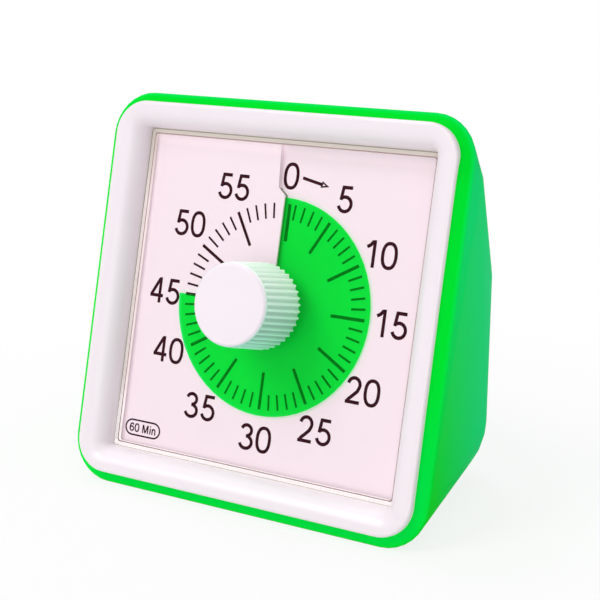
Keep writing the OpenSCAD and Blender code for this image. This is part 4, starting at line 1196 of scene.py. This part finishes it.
class TIMER_OT_stage(bpy.types.Operator):
    """Adds the floor, the soft lamps, the surroundings and the camera"""

    bl_idname = "timer.stage"
    bl_label = "Stage"

    def execute(self, context):
        stage = settings("timer_stage")
        self.floor()
        self.world(stage)
        self.lamps(stage)
        self.camera(stage)
        context.scene.view_settings.view_transform = "Standard"
        return {"FINISHED"}

    def floor(self):
        """Pale table top that fades to the white of the surroundings."""
        half = FLOOR_HALF * MM
        mesh = bpy.data.meshes.new("table_top")
        corners = [(-half, -half, 0), (half, -half, 0), (half, half, 0), (-half, half, 0)]
        mesh.from_pydata(corners, [], [(0, 1, 2, 3)])
        floor = add_object("table_top", mesh)
        # White laminate, pressed matt: nearly full white to the eye, so that only the soft shadow shows
        material = new_material("matt_white_laminate")
        tree = material.node_tree
        place = add_node(tree, "TexCoord").outputs["Object"]
        away = add_node(tree, "VectorMath", {"operation": "LENGTH"}, {0: place})
        whiteness = add_node(
            tree, "MapRange",
            inputs={
                "Value": away.outputs["Value"], "From Min": FADE_STARTS * MM, "From Max": FADE_ENDS * MM,
                "To Min": 0.82, "To Max": 1.0,
            },
        )
        lit = add_node(tree, "BsdfDiffuse", inputs={"Color": "#f4f4f4"})
        glow = add_node(tree, "Emission", inputs={"Color": "#ffffff", "Strength": 1.0})
        both = add_node(
            tree, "MixShader",
            inputs={
                "Fac": level(tree, 0.0, 1.0, seen_directly(tree), whiteness.outputs["Result"]),
                1: lit.outputs["BSDF"], 2: glow.outputs["Emission"],
            },
        )
        mesh.materials.append(finish_material(material, both.outputs["Shader"]))

    def world(self, stage):
        """White surroundings, at full white where the camera sees them."""
        world = bpy.data.worlds.new("pale_studio")
        bpy.context.scene.world = world
        world.use_nodes = True
        tree = world.node_tree
        tree.nodes.clear()
        sky = add_node(
            tree, "Background",
            inputs={"Color": "#ffffff", "Strength": level(tree, stage.fill, 1.0, seen_directly(tree))},
        )
        add_node(tree, "OutputWorld", inputs={"Surface": sky.outputs["Background"]})

    def lamps(self, stage):
        middle = Vector((0, 0, DIAL_CENTRE.z))
        for name, (place, size, power) in SOFTBOXES.items():
            data = bpy.data.lights.new(name, "AREA")
            data.shape = "SQUARE"
            data.size = size * MM
            data.energy = power * stage.lamps
            lamp = add_object(name, data)
            lamp.location = middle + Vector(place) * MM
            look_at(lamp, middle)

    def camera(self, stage):
        data = bpy.data.cameras.new("camera")
        data.lens = stage.focal
        data.sensor_width = SENSOR_W
        camera = add_object("camera", data)
        toward = Vector((
            math.cos(stage.elevation) * math.sin(stage.azimuth),
            -math.cos(stage.elevation) * math.cos(stage.azimuth),
            math.sin(stage.elevation),
        ))
        camera.location = DIAL_CENTRE + toward * stage.distance * MM
        look_at(camera, DIAL_CENTRE + Vector(stage.aim) * MM)
        bpy.context.scene.camera = camera


class TIMER_PT_panel(bpy.types.Panel):
    """Lists the timer's pieces"""

    bl_idname = "TIMER_PT_panel"
    bl_label = "Countdown timer"
    bl_space_type = "VIEW_3D"
    bl_region_type = "UI"
    bl_category = "Timer"

    def draw(self, context):
        for operator in OPERATORS:
            self.layout.operator(operator.bl_idname)
        for name, group in GROUPS.items():
            box = self.layout.box()
            for key in group.__annotations__:
                box.prop(getattr(context.scene, name), key)


OPERATORS = (
    TIMER_OT_dial, TIMER_OT_disc, TIMER_OT_front, TIMER_OT_housing, TIMER_OT_knob, TIMER_OT_works,
    TIMER_OT_stage,
)
CLASSES = tuple(GROUPS.values()) + OPERATORS + (TIMER_PT_panel,)


def register():
    for cls in CLASSES:
        bpy.utils.register_class(cls)
    for name, group in GROUPS.items():
        setattr(bpy.types.Scene, name, bpy.props.PointerProperty(type=group))


def unregister():
    for name in GROUPS:
        delattr(bpy.types.Scene, name)
    for cls in reversed(CLASSES):
        bpy.utils.unregister_class(cls)


def main():
    register()
    bpy.ops.timer.dial()
    bpy.ops.timer.disc()
    bpy.ops.timer.front()
    bpy.ops.timer.housing()
    bpy.ops.timer.knob()
    bpy.ops.timer.works()
    bpy.ops.timer.stage()


if __name__ == "__main__":
    main()
